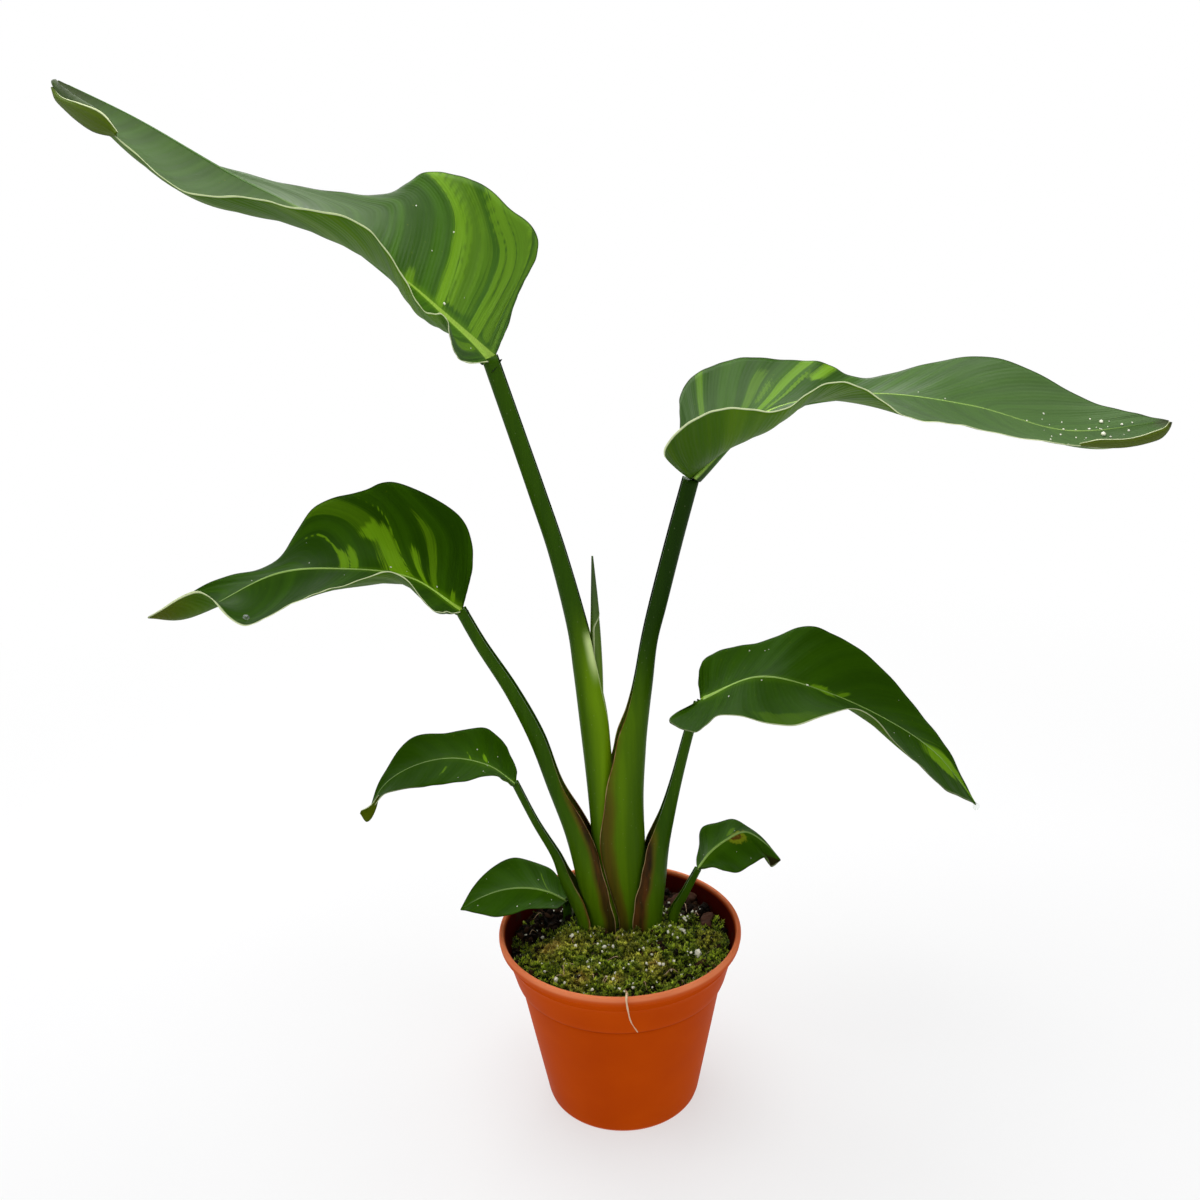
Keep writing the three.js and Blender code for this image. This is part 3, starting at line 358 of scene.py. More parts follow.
class Nodes:
    """A short way to write a material's nodes: n["vein"] reads the mesh's own value of that name."""

    def __init__(self, name):
        self.material = bpy.data.materials.new(name)
        self.material.use_nodes = True
        self.tree = self.material.node_tree
        self.tree.nodes.clear()
        self.output = self.tree.nodes.new("ShaderNodeOutputMaterial")

    def __getitem__(self, name):
        return self.node("ShaderNodeAttribute", {"attribute_name": name}).outputs["Fac"]

    def node(self, kind, settings=None, **inputs):
        """A new node with its settings and inputs. An input goes by its name, or is i0, i1 and so on."""
        made = self.tree.nodes.new(kind)
        for key, setting in (settings or {}).items():
            setattr(made, key, setting)
        for key, given in inputs.items():
            numbered = key[0] == "i" and key[1:].isdigit()
            self.put(made.inputs[int(key[1:]) if numbered else key.replace("_", " ")], given)
        return made

    def put(self, socket, given):
        if isinstance(given, bpy.types.NodeSocket):
            self.tree.links.new(given, socket)
        elif isinstance(given, (tuple, list)) and len(given) == 3 and socket.type == "RGBA":
            socket.default_value = (*given, 1)
        else:
            socket.default_value = given

    def math(self, operation, *numbers):
        inputs = {f"i{k}": given for k, given in enumerate(numbers)}
        return self.node("ShaderNodeMath", {"operation": operation}, **inputs).outputs[0]

    def times(self, *parts):
        product = parts[0]
        for part in parts[1:]:
            product = self.math("MULTIPLY", product, part)
        return product

    def plus(self, a, b):
        return self.math("ADD", a, b)

    def varied(self, base, noise, amount):
        """The base, pushed up and down by a noise whose middle is 0.5."""
        return self.math("MULTIPLY_ADD", self.math("SUBTRACT", noise, 0.5), amount, base)

    def place(self):
        return self.node("ShaderNodeTexCoord").outputs["Object"]

    def vector(self, x, y, z=0.0):
        return self.node("ShaderNodeCombineXYZ", i0=x, i1=y, i2=z).outputs[0]

    def noise(self, vector, scale, detail=3.0, roughness=0.5):
        """Soft noise. A scale of three numbers stretches it along an axis where its number is low."""
        if isinstance(scale, tuple):
            vector, scale = self.node("ShaderNodeMapping", Vector=vector, Scale=scale).outputs[0], 1.0
        return self.node("ShaderNodeTexNoise", None, Vector=vector, Scale=scale, Detail=detail,
                         Roughness=roughness).outputs["Fac"]

    def spots(self, vector, scale):
        return self.node("ShaderNodeTexVoronoi", None, Vector=vector, Scale=scale).outputs["Distance"]

    def step(self, x, low, high):
        return self.node("ShaderNodeMapRange", {"interpolation_type": "SMOOTHSTEP"},
                         Value=x, From_Min=low, From_Max=high).outputs[0]

    def ramp(self, x, low, high, start, end):
        return self.node("ShaderNodeMapRange", None, Value=x, From_Min=low, From_Max=high,
                         To_Min=start, To_Max=end).outputs[0]

    def mix(self, share, a, b):
        made = self.node("ShaderNodeMix", {"data_type": "RGBA"})
        for socket, given in zip((made.inputs[0], made.inputs[6], made.inputs[7]), (share, a, b)):
            self.put(socket, given)
        return made.outputs[2]

    def tint(self, color, other, *shares):
        """The colour, turned towards the other one by the product of the shares."""
        return self.mix(self.times(*shares), color, other)

    def bump(self, height, strength, distance, under=None):
        made = self.node("ShaderNodeBump", None, Height=height, Strength=strength, Distance=distance)
        if under is not None:
            self.put(made.inputs["Normal"], under)
        return made.outputs[0]

    def surface(self, color, roughness, normal, through=0.0, glow=None, beneath=None, **shader):
        """The material's surface. Light passes through thin leaves (its share and its colour), and
        spreads beneath other surfaces (its share and its reach in metres)."""
        if beneath:
            shader.update(Subsurface_Weight=beneath[0], Subsurface_Radius=beneath[1], Subsurface_Scale=1.0)
        result = self.node("ShaderNodeBsdfPrincipled", None, Base_Color=color, Roughness=roughness,
                           Normal=normal, **shader).outputs[0]
        if through:
            lit = self.node("ShaderNodeBsdfTranslucent", None, Color=color if glow is None else glow)
            result = self.node("ShaderNodeMixShader", None, i0=through, i1=result,
                               i2=lit.outputs[0]).outputs[0]
        self.tree.links.new(result, self.output.inputs["Surface"])
        return self.material


DARK_GREEN = (0.018, 0.060, 0.0006)
MID_GREEN = (0.040, 0.118, 0.001)
OLIVE = (0.045, 0.115, 0.001)
LIME = (0.18, 0.40, 0.003)
CREAM = (0.80, 0.88, 0.52)
DARK_EDGE = (0.022, 0.040, 0.006)
DRY_DARK = (0.010, 0.012, 0.002)
DRY_PALE = (0.045, 0.035, 0.008)
# How far red, green and blue light spreads in a stalk, in metres
SAP = (0.001, 0.002, 0.0005)


def leaf_lime(n, lengthwise):
    """How lime a place is: feathered patches that break up into fine lines along the side veins."""
    patch = n.varied(0.0, n["lime"], 1.5)
    patch = n.varied(patch, n.noise(lengthwise, 0.5, 3.0, 0.7), 1.3)
    patch = n.varied(patch, n.noise(lengthwise, 1.8, 2.0, 0.6), 1.1)
    return n.times(n.step(patch, -0.15, 0.4), n["level"])


def margin(n, color, share, width):
    """A cream edge along the front margin and a thin dark one along the back margin."""
    color = n.tint(color, DARK_EDGE, n.step(n["rim"], 0.7, 0.25), 0.7)
    return n.tint(color, CREAM, n.step(n["rim"], 1.5 * width, 0.7 * width), n["cream"], share)


def side_veins(n, seed):
    """Noise drawn out along the side veins, and the vector that it is read with."""
    lengthwise = n.vector(n["vein"], n.times(n["across"], 0.03), seed)
    return n.noise(lengthwise, 0.9, 2.0, 0.6), lengthwise


def leaf_surface(n, color, rough, normal, look, level):
    """A blade's surface, through which light passes lime."""
    return n.surface(color, rough, normal, look.through, n.mix(0.45, color, LIME), Specular_IOR_Level=level)


def leaf_upper(name, seed, look, level):
    """The blade's upper face: satin green, with fine side veins, lime streaks, a cream margin and a painted
    sheen.
    """
    n = Nodes(f"leaf_upper_{name}")
    vein, across, along = n["vein"], n["across"], n["along"]
    fine, lengthwise = side_veins(n, float(seed))
    bands = n.step(n.noise(lengthwise, 0.16, 2.0, 0.5), 0.35, 0.7)
    cloud = n.noise(n.vector(vein, across, seed + 5.0), 0.03, 3.0)
    swing = 0.5 * look.banding
    green = n.mix(n.ramp(bands, 0.0, 1.0, 0.5 - swing, 0.5 + swing),
                  [c * look.depth for c in DARK_GREEN], [c * look.depth for c in MID_GREEN])
    green = n.tint(green, MID_GREEN, n.step(cloud, 0.45, 0.75), 0.5)
    green = n.tint(green, (0.062, 0.165, 0.002), n.step(fine, 0.45, 0.75), 0.35 * look.banding)
    color = n.tint(green, n.mix(fine, LIME, (0.25, 0.48, 0.012)), leaf_lime(n, lengthwise), 0.92)
    beside = n.times(n.step(across, 6.0, 0.5), n.ramp(along, 0.0, 0.5, 1.0, 0.1))
    color = n.tint(color, LIME, beside, look.bright * 0.6)
    stripe = n.step(n.math("SUBTRACT", across, n["rib"]), 0.35, -0.25)
    pale = n.mix(fine, (0.32, 0.58, 0.02), (0.56, 0.78, 0.14))
    color = n.tint(color, pale, stripe, n.ramp(along, 0.0, 0.4, 1.0, 0.5))
    blemish = n.varied(n["blemish"], n.noise(n.place(), 500.0, 3.0), 0.7)
    color = n.mix(n.step(blemish, 0.12, 0.3), color, (0.24, 0.30, 0.01))
    color = n.mix(n.step(blemish, 0.38, 0.5), color, (0.13, 0.060, 0.006))
    color = n.mix(n.step(blemish, 0.62, 0.8), color, (0.42, 0.36, 0.04))
    # Dry tips, and painted shade that darkens the top left blade towards its tip
    color = n.mix(n["tip"], color, n.mix(fine, DRY_DARK, DRY_PALE))
    # Painted sheen: a pale grey-green that stands in for the reflection of the white surround
    color = n.mix(n["haze"], color, (0.15, 0.24, 0.105))
    color = margin(n, color, look.rim_above, look.edge_width)
    ribs = n.math("SINE", n.times(vein, 2.4))
    normal = n.bump(n.plus(n.times(ribs, 0.25), n.times(fine, 0.8)), 0.35, 0.0003)
    normal = n.bump(n.noise(n.place(), 90.0, 2.0), 0.15, 0.002, normal)
    return leaf_surface(n, color, n.ramp(fine, 0.2, 0.8, 0.38, 0.50), normal, look, level)


def leaf_lower(name, seed, look):
    """The blade's underside: paler, duller olive green with raised side veins."""
    n = Nodes(f"leaf_lower_{name}")
    along = n["along"]
    fine, lengthwise = side_veins(n, seed + 3.0)
    green = n.mix(n.step(n.noise(lengthwise, 0.12, 2.0, 0.5), 0.3, 0.75),
                  [c * look.depth for c in OLIVE], (0.075 * look.depth, 0.16 * look.depth, 0.001))
    green = n.tint(green, (0.09, 0.18, 0.003), n.step(fine, 0.45, 0.8), 0.3)
    green = n.tint(green, (0.15, 0.29, 0.006), leaf_lime(n, lengthwise), 0.6)
    green = n.tint(green, (0.085, 0.085, 0.002), n.step(along, 0.72, 0.95), 0.7)
    # Painted shade: the underside is darker near the base, under the blade where the stalk meets it
    green = n.tint(green, (0.020, 0.055, 0.001), n.step(along, 0.10, 0.0), 0.5)
    # Dry tips, and painted shade that darkens the top left blade towards its tip
    green = n.mix(n["tip"], green, n.mix(fine, DRY_DARK, DRY_PALE))
    color = margin(n, green, look.rim_below, look.edge_width)
    ribs = n.math("SINE", n.times(n["vein"], 2.4))
    normal = n.bump(n.plus(n.times(ribs, 0.4), fine), 0.4, 0.0004)
    return leaf_surface(n, color, n.ramp(fine, 0.2, 0.8, 0.45, 0.60), normal, look, look.gloss * 0.6)


def midrib_material(name, bright, reach, end):
    """The midrib: a pale stripe above that fades along the leaf, and mid green below, darkened near the base
    with painted shade.
    """
    n = Nodes(f"midrib_{name}")
    along = n["along"]
    lines = n.noise(n.vector(n.times(along, 2.0), n.times(n["round"], 6.0)), 4.0, 2.0, 0.6)
    full = (0.12 + 0.36 * bright, 0.24 + 0.56 * bright, 0.04 + 0.06 * bright)
    faint = (0.09 + 0.20 * bright, 0.19 + 0.30 * bright, 0.04 + 0.05 * bright)
    above = n.mix(n.step(along, 0.0, reach), full, faint)
    above = n.tint(above, (0.50, 0.72, 0.22), lines, 0.35)
    below = n.mix(lines, (0.030, 0.105, 0.003), (0.07, 0.18, 0.008))
    # Painted shade under the midrib near the base
    below = n.mix(n.step(along, 0.0, 0.12), (0.012, 0.040, 0.0005), below)
    color = n.mix(n.step(n["top"], 0.05, 0.55), below, above)
    color = n.mix(n.step(along, end, end + 0.17), color, MID_GREEN)
    return n.surface(color, 0.45, n.bump(lines, 0.3, 0.0003), beneath=(0.1, SAP), Specular_IOR_Level=0.2)


def stalk_material():
    """The stalks: dark glossy green, paler at the foot, with thin dry brown edges on the sheaths, and painted
    shade towards the blade.
    """
    n = Nodes("leaf_stalk")
    place = n.place()
    streaks = n.noise(place, (260.0, 260.0, 9.0), 3.0, 0.6)
    broad = n.noise(place, (90.0, 90.0, 5.0), 2.0, 0.5)
    torn = n.noise(place, (60.0, 60.0, 45.0), 3.0, 0.6)
    dark = n.mix(streaks, (0.014, 0.048, 0.0004), (0.042, 0.110, 0.0006))
    # Painted shade: the stalk darkens towards the blade above it
    dark = n.mix(n["shade"], dark, (0.004, 0.018, 0.0003))
    pale = n.mix(streaks, (0.10, 0.22, 0.0008), (0.22, 0.38, 0.003))
    color = n.tint(dark, pale, n["pale"], n.ramp(broad, 0.3, 0.7, 0.75, 1.0))
    inner = n.mix(streaks, (0.14, 0.20, 0.02), (0.09, 0.025, 0.008))
    color = n.tint(color, inner, n["inside"], n["sheath"])
    brown = n.varied(n["brown"], torn, 0.25)
    maroon = n.mix(n.step(streaks, 0.35, 0.7), (0.020, 0.004, 0.004), (0.085, 0.018, 0.006))
    olive = n.mix(streaks, (0.055, 0.070, 0.002), (0.12, 0.095, 0.006))
    dry = n.tint(olive, maroon, n.step(brown, 0.4, 0.8), n["maroon"])
    color = n.tint(color, dry, n.step(brown, 0.15, 0.5), 0.9)
    line = n.mix(n.step(torn, 0.4, 0.6), (0.60, 0.42, 0.20), (0.22, 0.07, 0.025))
    color = n.tint(color, line, n.step(n["rim"], 0.42, 0.22), n["sheath"], n["dry"])
    color = n.mix(n["cream"], color, n.mix(streaks, (0.42, 0.62, 0.12), (0.70, 0.80, 0.42)))
    flat = n.node("ShaderNodeMapping", Vector=place, Scale=(1.0, 1.0, 0.6)).outputs[0]
    color = n.tint(color, (0.35, 0.4, 0.2), n.step(n.spots(flat, 420.0), 0.10, 0.05), 0.2)
    height = n.plus(n.times(streaks, 0.7), n.times(broad, 0.6))
    return n.surface(color, n.ramp(streaks, 0.3, 0.7, 0.36, 0.48), n.bump(height, 0.25, 0.0004),
                     beneath=(0.05, SAP), Specular_IOR_Level=0.05)


def spear_material():
    """The rolled new leaf: pale at its foot, darker at its tip, with fine veins across the roll."""
    n = Nodes("new_leaf")
    streaks = n.noise(n.place(), (300.0, 300.0, 25.0), 3.0, 0.6)
    low = n.mix(streaks, (0.075, 0.16, 0.004), (0.14, 0.24, 0.012))
    high = n.mix(streaks, (0.022, 0.05, 0.006), (0.05, 0.09, 0.02))
    color = n.mix(n.step(n["rise"], 0.35, 0.95), low, high)
    color = n.tint(color, CREAM, n.step(n["seam"], 0.90, 0.96), n.step(n["rise"], 0.9, 0.75), 0.4)
    return n.surface(color, 0.42, n.bump(streaks, 0.3, 0.0003), beneath=(0.1, SAP), Specular_IOR_Level=0.2)


def pot_material():
    """Thin moulded plastic: terracotta orange, with faint flow marks and dried splashes; painted highlights
    on its lip and ridges, and painted shade inside it and in the groove under its band.
    """
    n = Nodes("pot_plastic")
    place = n.place()
    inner = n["inside"]
    flow = n.noise(place, (14.0, 14.0, 40.0))
    cloud = n.noise(place, 22.0)
    color = n.mix(n.ramp(cloud, 0.3, 0.7, 0.0, 1.0), (0.43, 0.048, 0.0002), (0.50, 0.062, 0.0003))
    color = n.tint(color, (0.60, 0.09, 0.002), n.step(flow, 0.5, 0.8), 0.2)
    # Painted highlight: pale salmon on the lip and on the ridges at the band's foot and the base
    color = n.tint(color, (0.86, 0.30, 0.14), n.step(n["worn"], 0.3, 0.9),
                   n.ramp(flow, 0.35, 0.7, 0.30, 0.85))
    # Painted shade in the groove under the band
    color = n.tint(color, (0.13, 0.006, 0.0003), n["crease"], 0.75)
    dots = n.step(n.spots(place, 150.0), 0.075, 0.045)
    color = n.tint(color, (0.70, 0.42, 0.26), dots, n.step(n.noise(place, 30.0, 2.0), 0.60, 0.68), 0.8)
    # Painted shade: the inside of the pot is darkened almost to black-red
    color = n.tint(color, (0.035, 0.0012, 0.0012), inner, 0.98)
    soil_mark = n.step(n.noise(place, 160.0), 0.58, 0.66)
    color = n.tint(color, (0.03, 0.015, 0.008), soil_mark, n.step(inner, 0.9, 1.0), 0.7)
    normal = n.bump(n.noise(place, 900.0, 2.0), 0.06, 0.0003)
    normal = n.bump(flow, 0.10, 0.002, normal)
    return n.surface(color, n.ramp(cloud, 0.3, 0.7, 0.40, 0.50), normal,
                     beneath=(0.05, (0.003, 0.001, 0.0005)), Specular_IOR_Level=0.01)


def soil_material():
    """Moist peat: almost black, with browner clumps."""
    n = Nodes("soil")
    place = n.place()
    grain = n.noise(place, 420.0, 4.0, 0.65)
    color = n.mix(grain, (0.002, 0.0014, 0.001), (0.018, 0.009, 0.005))
    color = n.tint(color, (0.030, 0.015, 0.007), n.step(n.noise(place, 70.0), 0.5, 0.75), 0.5)
    normal = n.bump(n.plus(grain, n.spots(place, 330.0)), 0.9, 0.0012)
    return n.surface(color, n.ramp(grain, 0.3, 0.7, 0.65, 0.95), normal, Specular_IOR_Level=0.08)


def crumb_material():
    """Peat crumbs and bark bits: each has its own shade of brown."""
    n = Nodes("crumbs")
    grain = n.noise(n.place(), 700.0)
    color = n.mix(n["shade"], (0.0025, 0.0018, 0.001), (0.055, 0.024, 0.010))
    color = n.tint(color, (0.009, 0.005, 0.003), grain, 0.5)
    return n.surface(color, 0.82, n.bump(grain, 0.5, 0.0006), Specular_IOR_Level=0.08)


def perlite_material():
    """Perlite: chalky white with a warm tone."""
    n = Nodes("perlite")
    grain = n.noise(n.place(), 1400.0, 2.0)
    color = n.mix(grain, (0.94, 0.88, 0.66), (1.0, 0.96, 0.82))
    return n.surface(color, 0.8, n.bump(grain, 0.5, 0.0005), beneath=(0.3, (0.002, 0.002, 0.002)))


def moss_bed_material():
    """The moss's dark bed under its shoots."""
    n = Nodes("moss_bed")
    fine = n.noise(n.place(), 700.0)
    return n.surface(n.mix(fine, (0.006, 0.012, 0.001), (0.045, 0.06, 0.004)), 0.8, n.bump(fine, 0.8, 0.0012))


def moss_shoot_material():
    """Moss shoots: green with yellow and brown tufts in patches, darkened at the foot with painted shade, and
    pale at the tip.
    """
    n = Nodes("moss_shoots")
    place = n.place()
    tuft, rise = n["shade"], n["rise"]
    patch = n.varied(n["gold"], n.noise(place, 160.0, 3.0, 0.6), 1.2)
    green = n.mix(tuft, (0.016, 0.050, 0.001), (0.62, 0.80, 0.050))
    olive = n.mix(tuft, (0.085, 0.105, 0.001), (0.95, 0.92, 0.12))
    gold = n.mix(tuft, (0.28, 0.17, 0.003), (1.0, 0.82, 0.20))
    color = n.mix(n.step(patch, 0.0, 0.45), green, olive)
    color = n.mix(n.step(patch, 0.6, 1.0), color, gold)
    # Painted shade at the foot of each shoot, deep in the tufts
    color = n.mix(n.step(rise, 0.75, 0.1), color, (0.005, 0.012, 0.001))
    color = n.tint(color, (0.75, 0.78, 0.25), n.step(rise, 0.8, 1.15), 0.6)
    normal = n.bump(n.noise(place, 700.0), 0.3, 0.0005)
    return n.surface(color, 0.5, normal, through=0.2, Specular_IOR_Level=0.15)


def bark_material():
    """Bark: brown in fine layers."""
    n = Nodes("bark")
    layers = n.noise(n.place(), (90.0, 400.0, 700.0), 4.0, 0.6)
    color = n.mix(layers, (0.012, 0.005, 0.003), (0.10, 0.040, 0.022))
    return n.surface(color, 0.85, n.bump(layers, 0.9, 0.0015), Specular_IOR_Level=0.1)


def root_material():
    """Roots and dry fibres: pale tan with fine lines."""
    n = Nodes("root")
    lines = n.noise(n.place(), (300.0, 300.0, 80.0))
    return n.surface(n.mix(lines, (0.42, 0.22, 0.10), (0.80, 0.58, 0.38)), 0.55, n.bump(lines, 0.4, 0.0004))


def speck_material():
    """Dried splashes and specks of perlite dust on the leaves."""
    n = Nodes("specks")
    milk = n.noise(n.place(), 500.0, 2.0)
    return n.surface(n.mix(milk, (0.80, 0.80, 0.56), (0.98, 0.98, 0.86)), 0.4, n.bump(milk, 0.1, 0.0002),
                     beneath=(0.3, (0.001, 0.001, 0.001)), Specular_IOR_Level=0.3)


def water_material():
    """Clear water, with a little unevenness."""
    n = Nodes("clear_water")
    milk = n.noise(n.place(), 500.0, 2.0)
    return n.surface(n.mix(milk, (0.90, 0.95, 0.90), (0.98, 0.99, 0.98)), 0.02, n.bump(milk, 0.05, 0.0001),
                     Transmission_Weight=0.92, IOR=1.33)


# Leaf blades

SHEET = 0.5  # the blade's own thickness
# For each blade: its grid's rows and columns on a half, how deep its green is, the midrib's half width
# at the base, how bright the midrib is and how far that reaches, how strong the cream margin is above
# and below, the gloss, the share of light that passes through, the stretch over which the stalk runs
# out under the blade, the half width of the pale stripe on top at the base, the margin's width and how
# strong the bands along the side veins are
Look = namedtuple("Look", "rows columns depth rib bright reach rim_above rim_below gloss through run_out "
                          "stripe edge_width banding")
LOOKS = {
    "top_left": Look(170, 34, 1.5, 2.5, 1.0, 0.7, 1.0, 1.0, 0.18, 0.34, 0.05, 3.5, 0.75, 0.8),
    "top_right": Look(170, 34, 1.2, 1.7, 0.75, 1.0, 1.0, 1.0, 0.20, 0.22, 0.10, 0.9, 0.65, 0.7),
    "mid_left": Look(140, 30, 1.0, 1.35, 0.9, 0.8, 1.0, 1.0, 0.12, 0.28, 0.05, 1.7, 0.75, 0.7),
    "mid_right": Look(140, 30, 0.95, 1.0, 0.42, 1.0, 0.7, 0.8, 0.012, 0.2, 0.05, 0.5, 0.8, 0.3),
    "low_left": Look(100, 22, 0.95, 0.6, 0.40, 1.0, 0.5, 1.0, 0.012, 0.2, 0.05, 0.35, 0.6, 0.25),
    "base_left": Look(84, 20, 1.15, 0.6, 0.3, 0.9, 0.3, 0.4, 0.04, 0.2, 0.05, 0.3, 0.5, 0.35),
    "base_right": Look(84, 20, 1.15, 0.65, 0.4, 0.9, 0.3, 0.5, 0.03, 0.2, 0.05, 0.3, 0.5, 0.35),
}
# Rows of numbers run from a blade's base to its tip. First, how the gloss varies along it; the gloss
# above each blade's even share is painted into its colour as a pale sheen
SHINE = {"top_left": [1, 1, 0.9, 0.5, 0.3, 0.3, 0.1], "top_right": [2.0, 1.8, 0.8, 0.5, 0.6, 1.4, 1.6],
         "mid_left": [0.3, 0.3, 0.35, 0.55, 0.65, 0.45, 0.3]}
# The gloss that each blade has all over, as a share of its own: a painted sheen stands for the rest
EVEN_SHINE = {"top_left": 0.6, "top_right": 0.9, "mid_left": 0.15}
# How far a painted sheen covers it: a pale grey-green that stands in for reflected light
PAINTED_SHEEN = {"top_left": [0.12, 0.10, 0.06, 0.03, 0.20, 0.22, 0],
        "top_right": [0.24, 0.20, 0.05, 0, 0.05, 0.32, 0.15]}
# How far painted shade darkens it towards its tip
TIP_SHADE = {"top_left": [0, 0, 0, 0.12, 0.28, 0.30, 0.3]}
# How cream its front margin is
CREAM_EDGE = {"top_left": [1] * 9 + [0, 0], "top_right": [1] * 9 + [0.3, 0], "mid_left": [1] * 5,
              "mid_right": [0, 0.3, 1, 0.4, 0.2], "low_left": [0, 0, 0, 0.2, 2],
              "base_right": [0, 0, 0, 0, 2]}
NOWHERE = [0, 0]
# Where a blade ends in a dark dry tip: from which place along it, over what stretch and how dark
# The top left blade's darkening at its tip is painted shade
DRY_TIP = {"top_left": (0.90, 0.07, 0.7), "top_right": (0.972, 0.02, 1), "base_right": (0.81, 0.02, 1),
           "mid_left": (0.985, 0.02, 1), "low_left": (0.985, 0.02, 1)}
NO_DRY_TIP = (1.1, 0.02, 0)
# One blade has a dried spot: its place along and across the blade, and its reach both ways
BLEMISH = {"base_right": (0.70, -0.12, 0.055, 0.30)}
# How fast side veins follow each other, and the waves that run along them: height and pace
VEIN_PACE = 1.25
RIPPLE = (0.16, 0.52)
WAVE = (0.55, 0.17)
# Where the midrib's pale stripe ends
STRIPE_END = {"top_left": 0.36}


def blade_surface(name, u, side):
    """Points of a blade's middle surface, how wide its half is there, and 1 or -1 as it heads to the
    right or left. Side runs from -1 at the back margin over 0 at the midrib to 1 at the front margin."""
    blade = BLADES[name]
    base, tip = blade["midrib"][0], blade["midrib"][-1]
    foot = curve(blade["midrib"], u**2)
    along = tangent(blade["midrib"], u**2)
    share = np.abs(side)
    heading = math.copysign(1, tip[0] - base[0])
    halves = {}
    for half, sign in (("back", -1), ("front", 1)):
        row = curve([base, *blade[half], tip], u) - foot
        under = unit(np.cross(along, row)) * heading * sign
        width = np.linalg.norm(row, axis=-1)
        stand = sum(depth * np.exp(-(((u - at) / reach) ** 2))
                    for side_at, at, reach, depth in EDGES.get(name, []) if side_at == sign)
        stretched = 1 + np.clip(stand / np.maximum(width, 0.6), -0.5, 1.6)
        row, width = row * stretched[..., None], width * stretched
        sag = value(blade[half + "_sag"], u) * width * 4 * share * (1 - share)
        halves[sign] = (foot + row * share[..., None] + under * sag[..., None], width)
    front = side >= 0
    points = np.where(front[..., None], halves[1][0], halves[-1][0])
    return points, np.where(front, halves[1][1], halves[-1][1]), heading


def vein_start(name, u, side):
    """The place on the midrib where the side vein through a place starts."""
    return u - value(LEAN.get(name, PLAIN_LEAN), np.abs(side)) * np.where(side < 0, 1, 0.5)


def lime_mask(name, u, side):
    """How much of the blade's lime variegation lies at a place, from 0 to 1, and how strong it is."""
    mask, level = np.zeros(np.shape(u)), np.zeros(np.shape(u))
    start = vein_start(name, u, side)
    reach = np.abs(side)
    for sign, at, width, low, high, strength in STREAKS[name]:
        near = np.exp(-(((start - at) / width) ** 2))
        ends = smoothstep(low - 0.08, low + 0.08, reach) * (1 - smoothstep(high - 0.25, high + 0.02, reach))
        here = near * ends * (np.sign(side) == sign)
        level = np.where(here * strength > mask * level, strength, level)
        mask = np.maximum(mask, here)
    return mask, level


def blade_facts(name, u, side, width, look):
    """What the leaf's materials read at each place of a blade."""
    ends = curve(BLADES[name]["midrib"], np.linspace(0, 1, 50))
    length = np.linalg.norm(np.diff(ends, axis=0), axis=1).sum()
    rim = width * (1 - np.abs(side)) + 0.45 * (1 - smoothstep(2, 9, width))
    at_u, at_side, reach_u, reach_side = BLEMISH.get(name, (0, 0, 1, 1))
    spot = np.exp(-(((u - at_u) / reach_u) ** 2 + ((side - at_side) / reach_side) ** 2)) * (name in BLEMISH)
    dry_from, dry_over, dry_share = DRY_TIP.get(name, NO_DRY_TIP)
    # The tip value holds the dry tips, and on the top left blade painted shade that darkens it towards its
    # tip
    tip = np.maximum(dry_share * smoothstep(dry_from, dry_from + dry_over, u),
                     np.maximum(value(TIP_SHADE.get(name, NOWHERE), u), 0))
    if name == "base_right":
        tip = tip * smoothstep(0.45, 0.65, side)
    lime, level = lime_mask(name, u, side)
    shine = value(SHINE.get(name, [1, 1]), u) * np.where((side < 0) & (name == "mid_left"), 0.3, 1)
    # The painted sheen stands in for reflected light, and also takes the gloss above the blade's even share
    sheen_side = np.maximum(smoothstep(0.5, -0.1, side), smoothstep(0.5, 0.65, u))
    haze = np.maximum(value(PAINTED_SHEEN.get(name, NOWHERE), u), 0) * sheen_side
    return dict(vein=vein_start(name, u, side) * length * VEIN_PACE, across=width * np.abs(side), rim=rim,
                lime=lime, level=level, along=u**2, top=0.0, round=0.0, blemish=spot, tip=tip,
                cream=np.clip(value(CREAM_EDGE.get(name, NOWHERE), u), 0, 1) * (side > 0),
                haze=haze + np.maximum(shine - EVEN_SHINE.get(name, 1), 0) * look.gloss,
                rib=look.stripe * np.exp(-u**2 / 0.17) - 0.2)


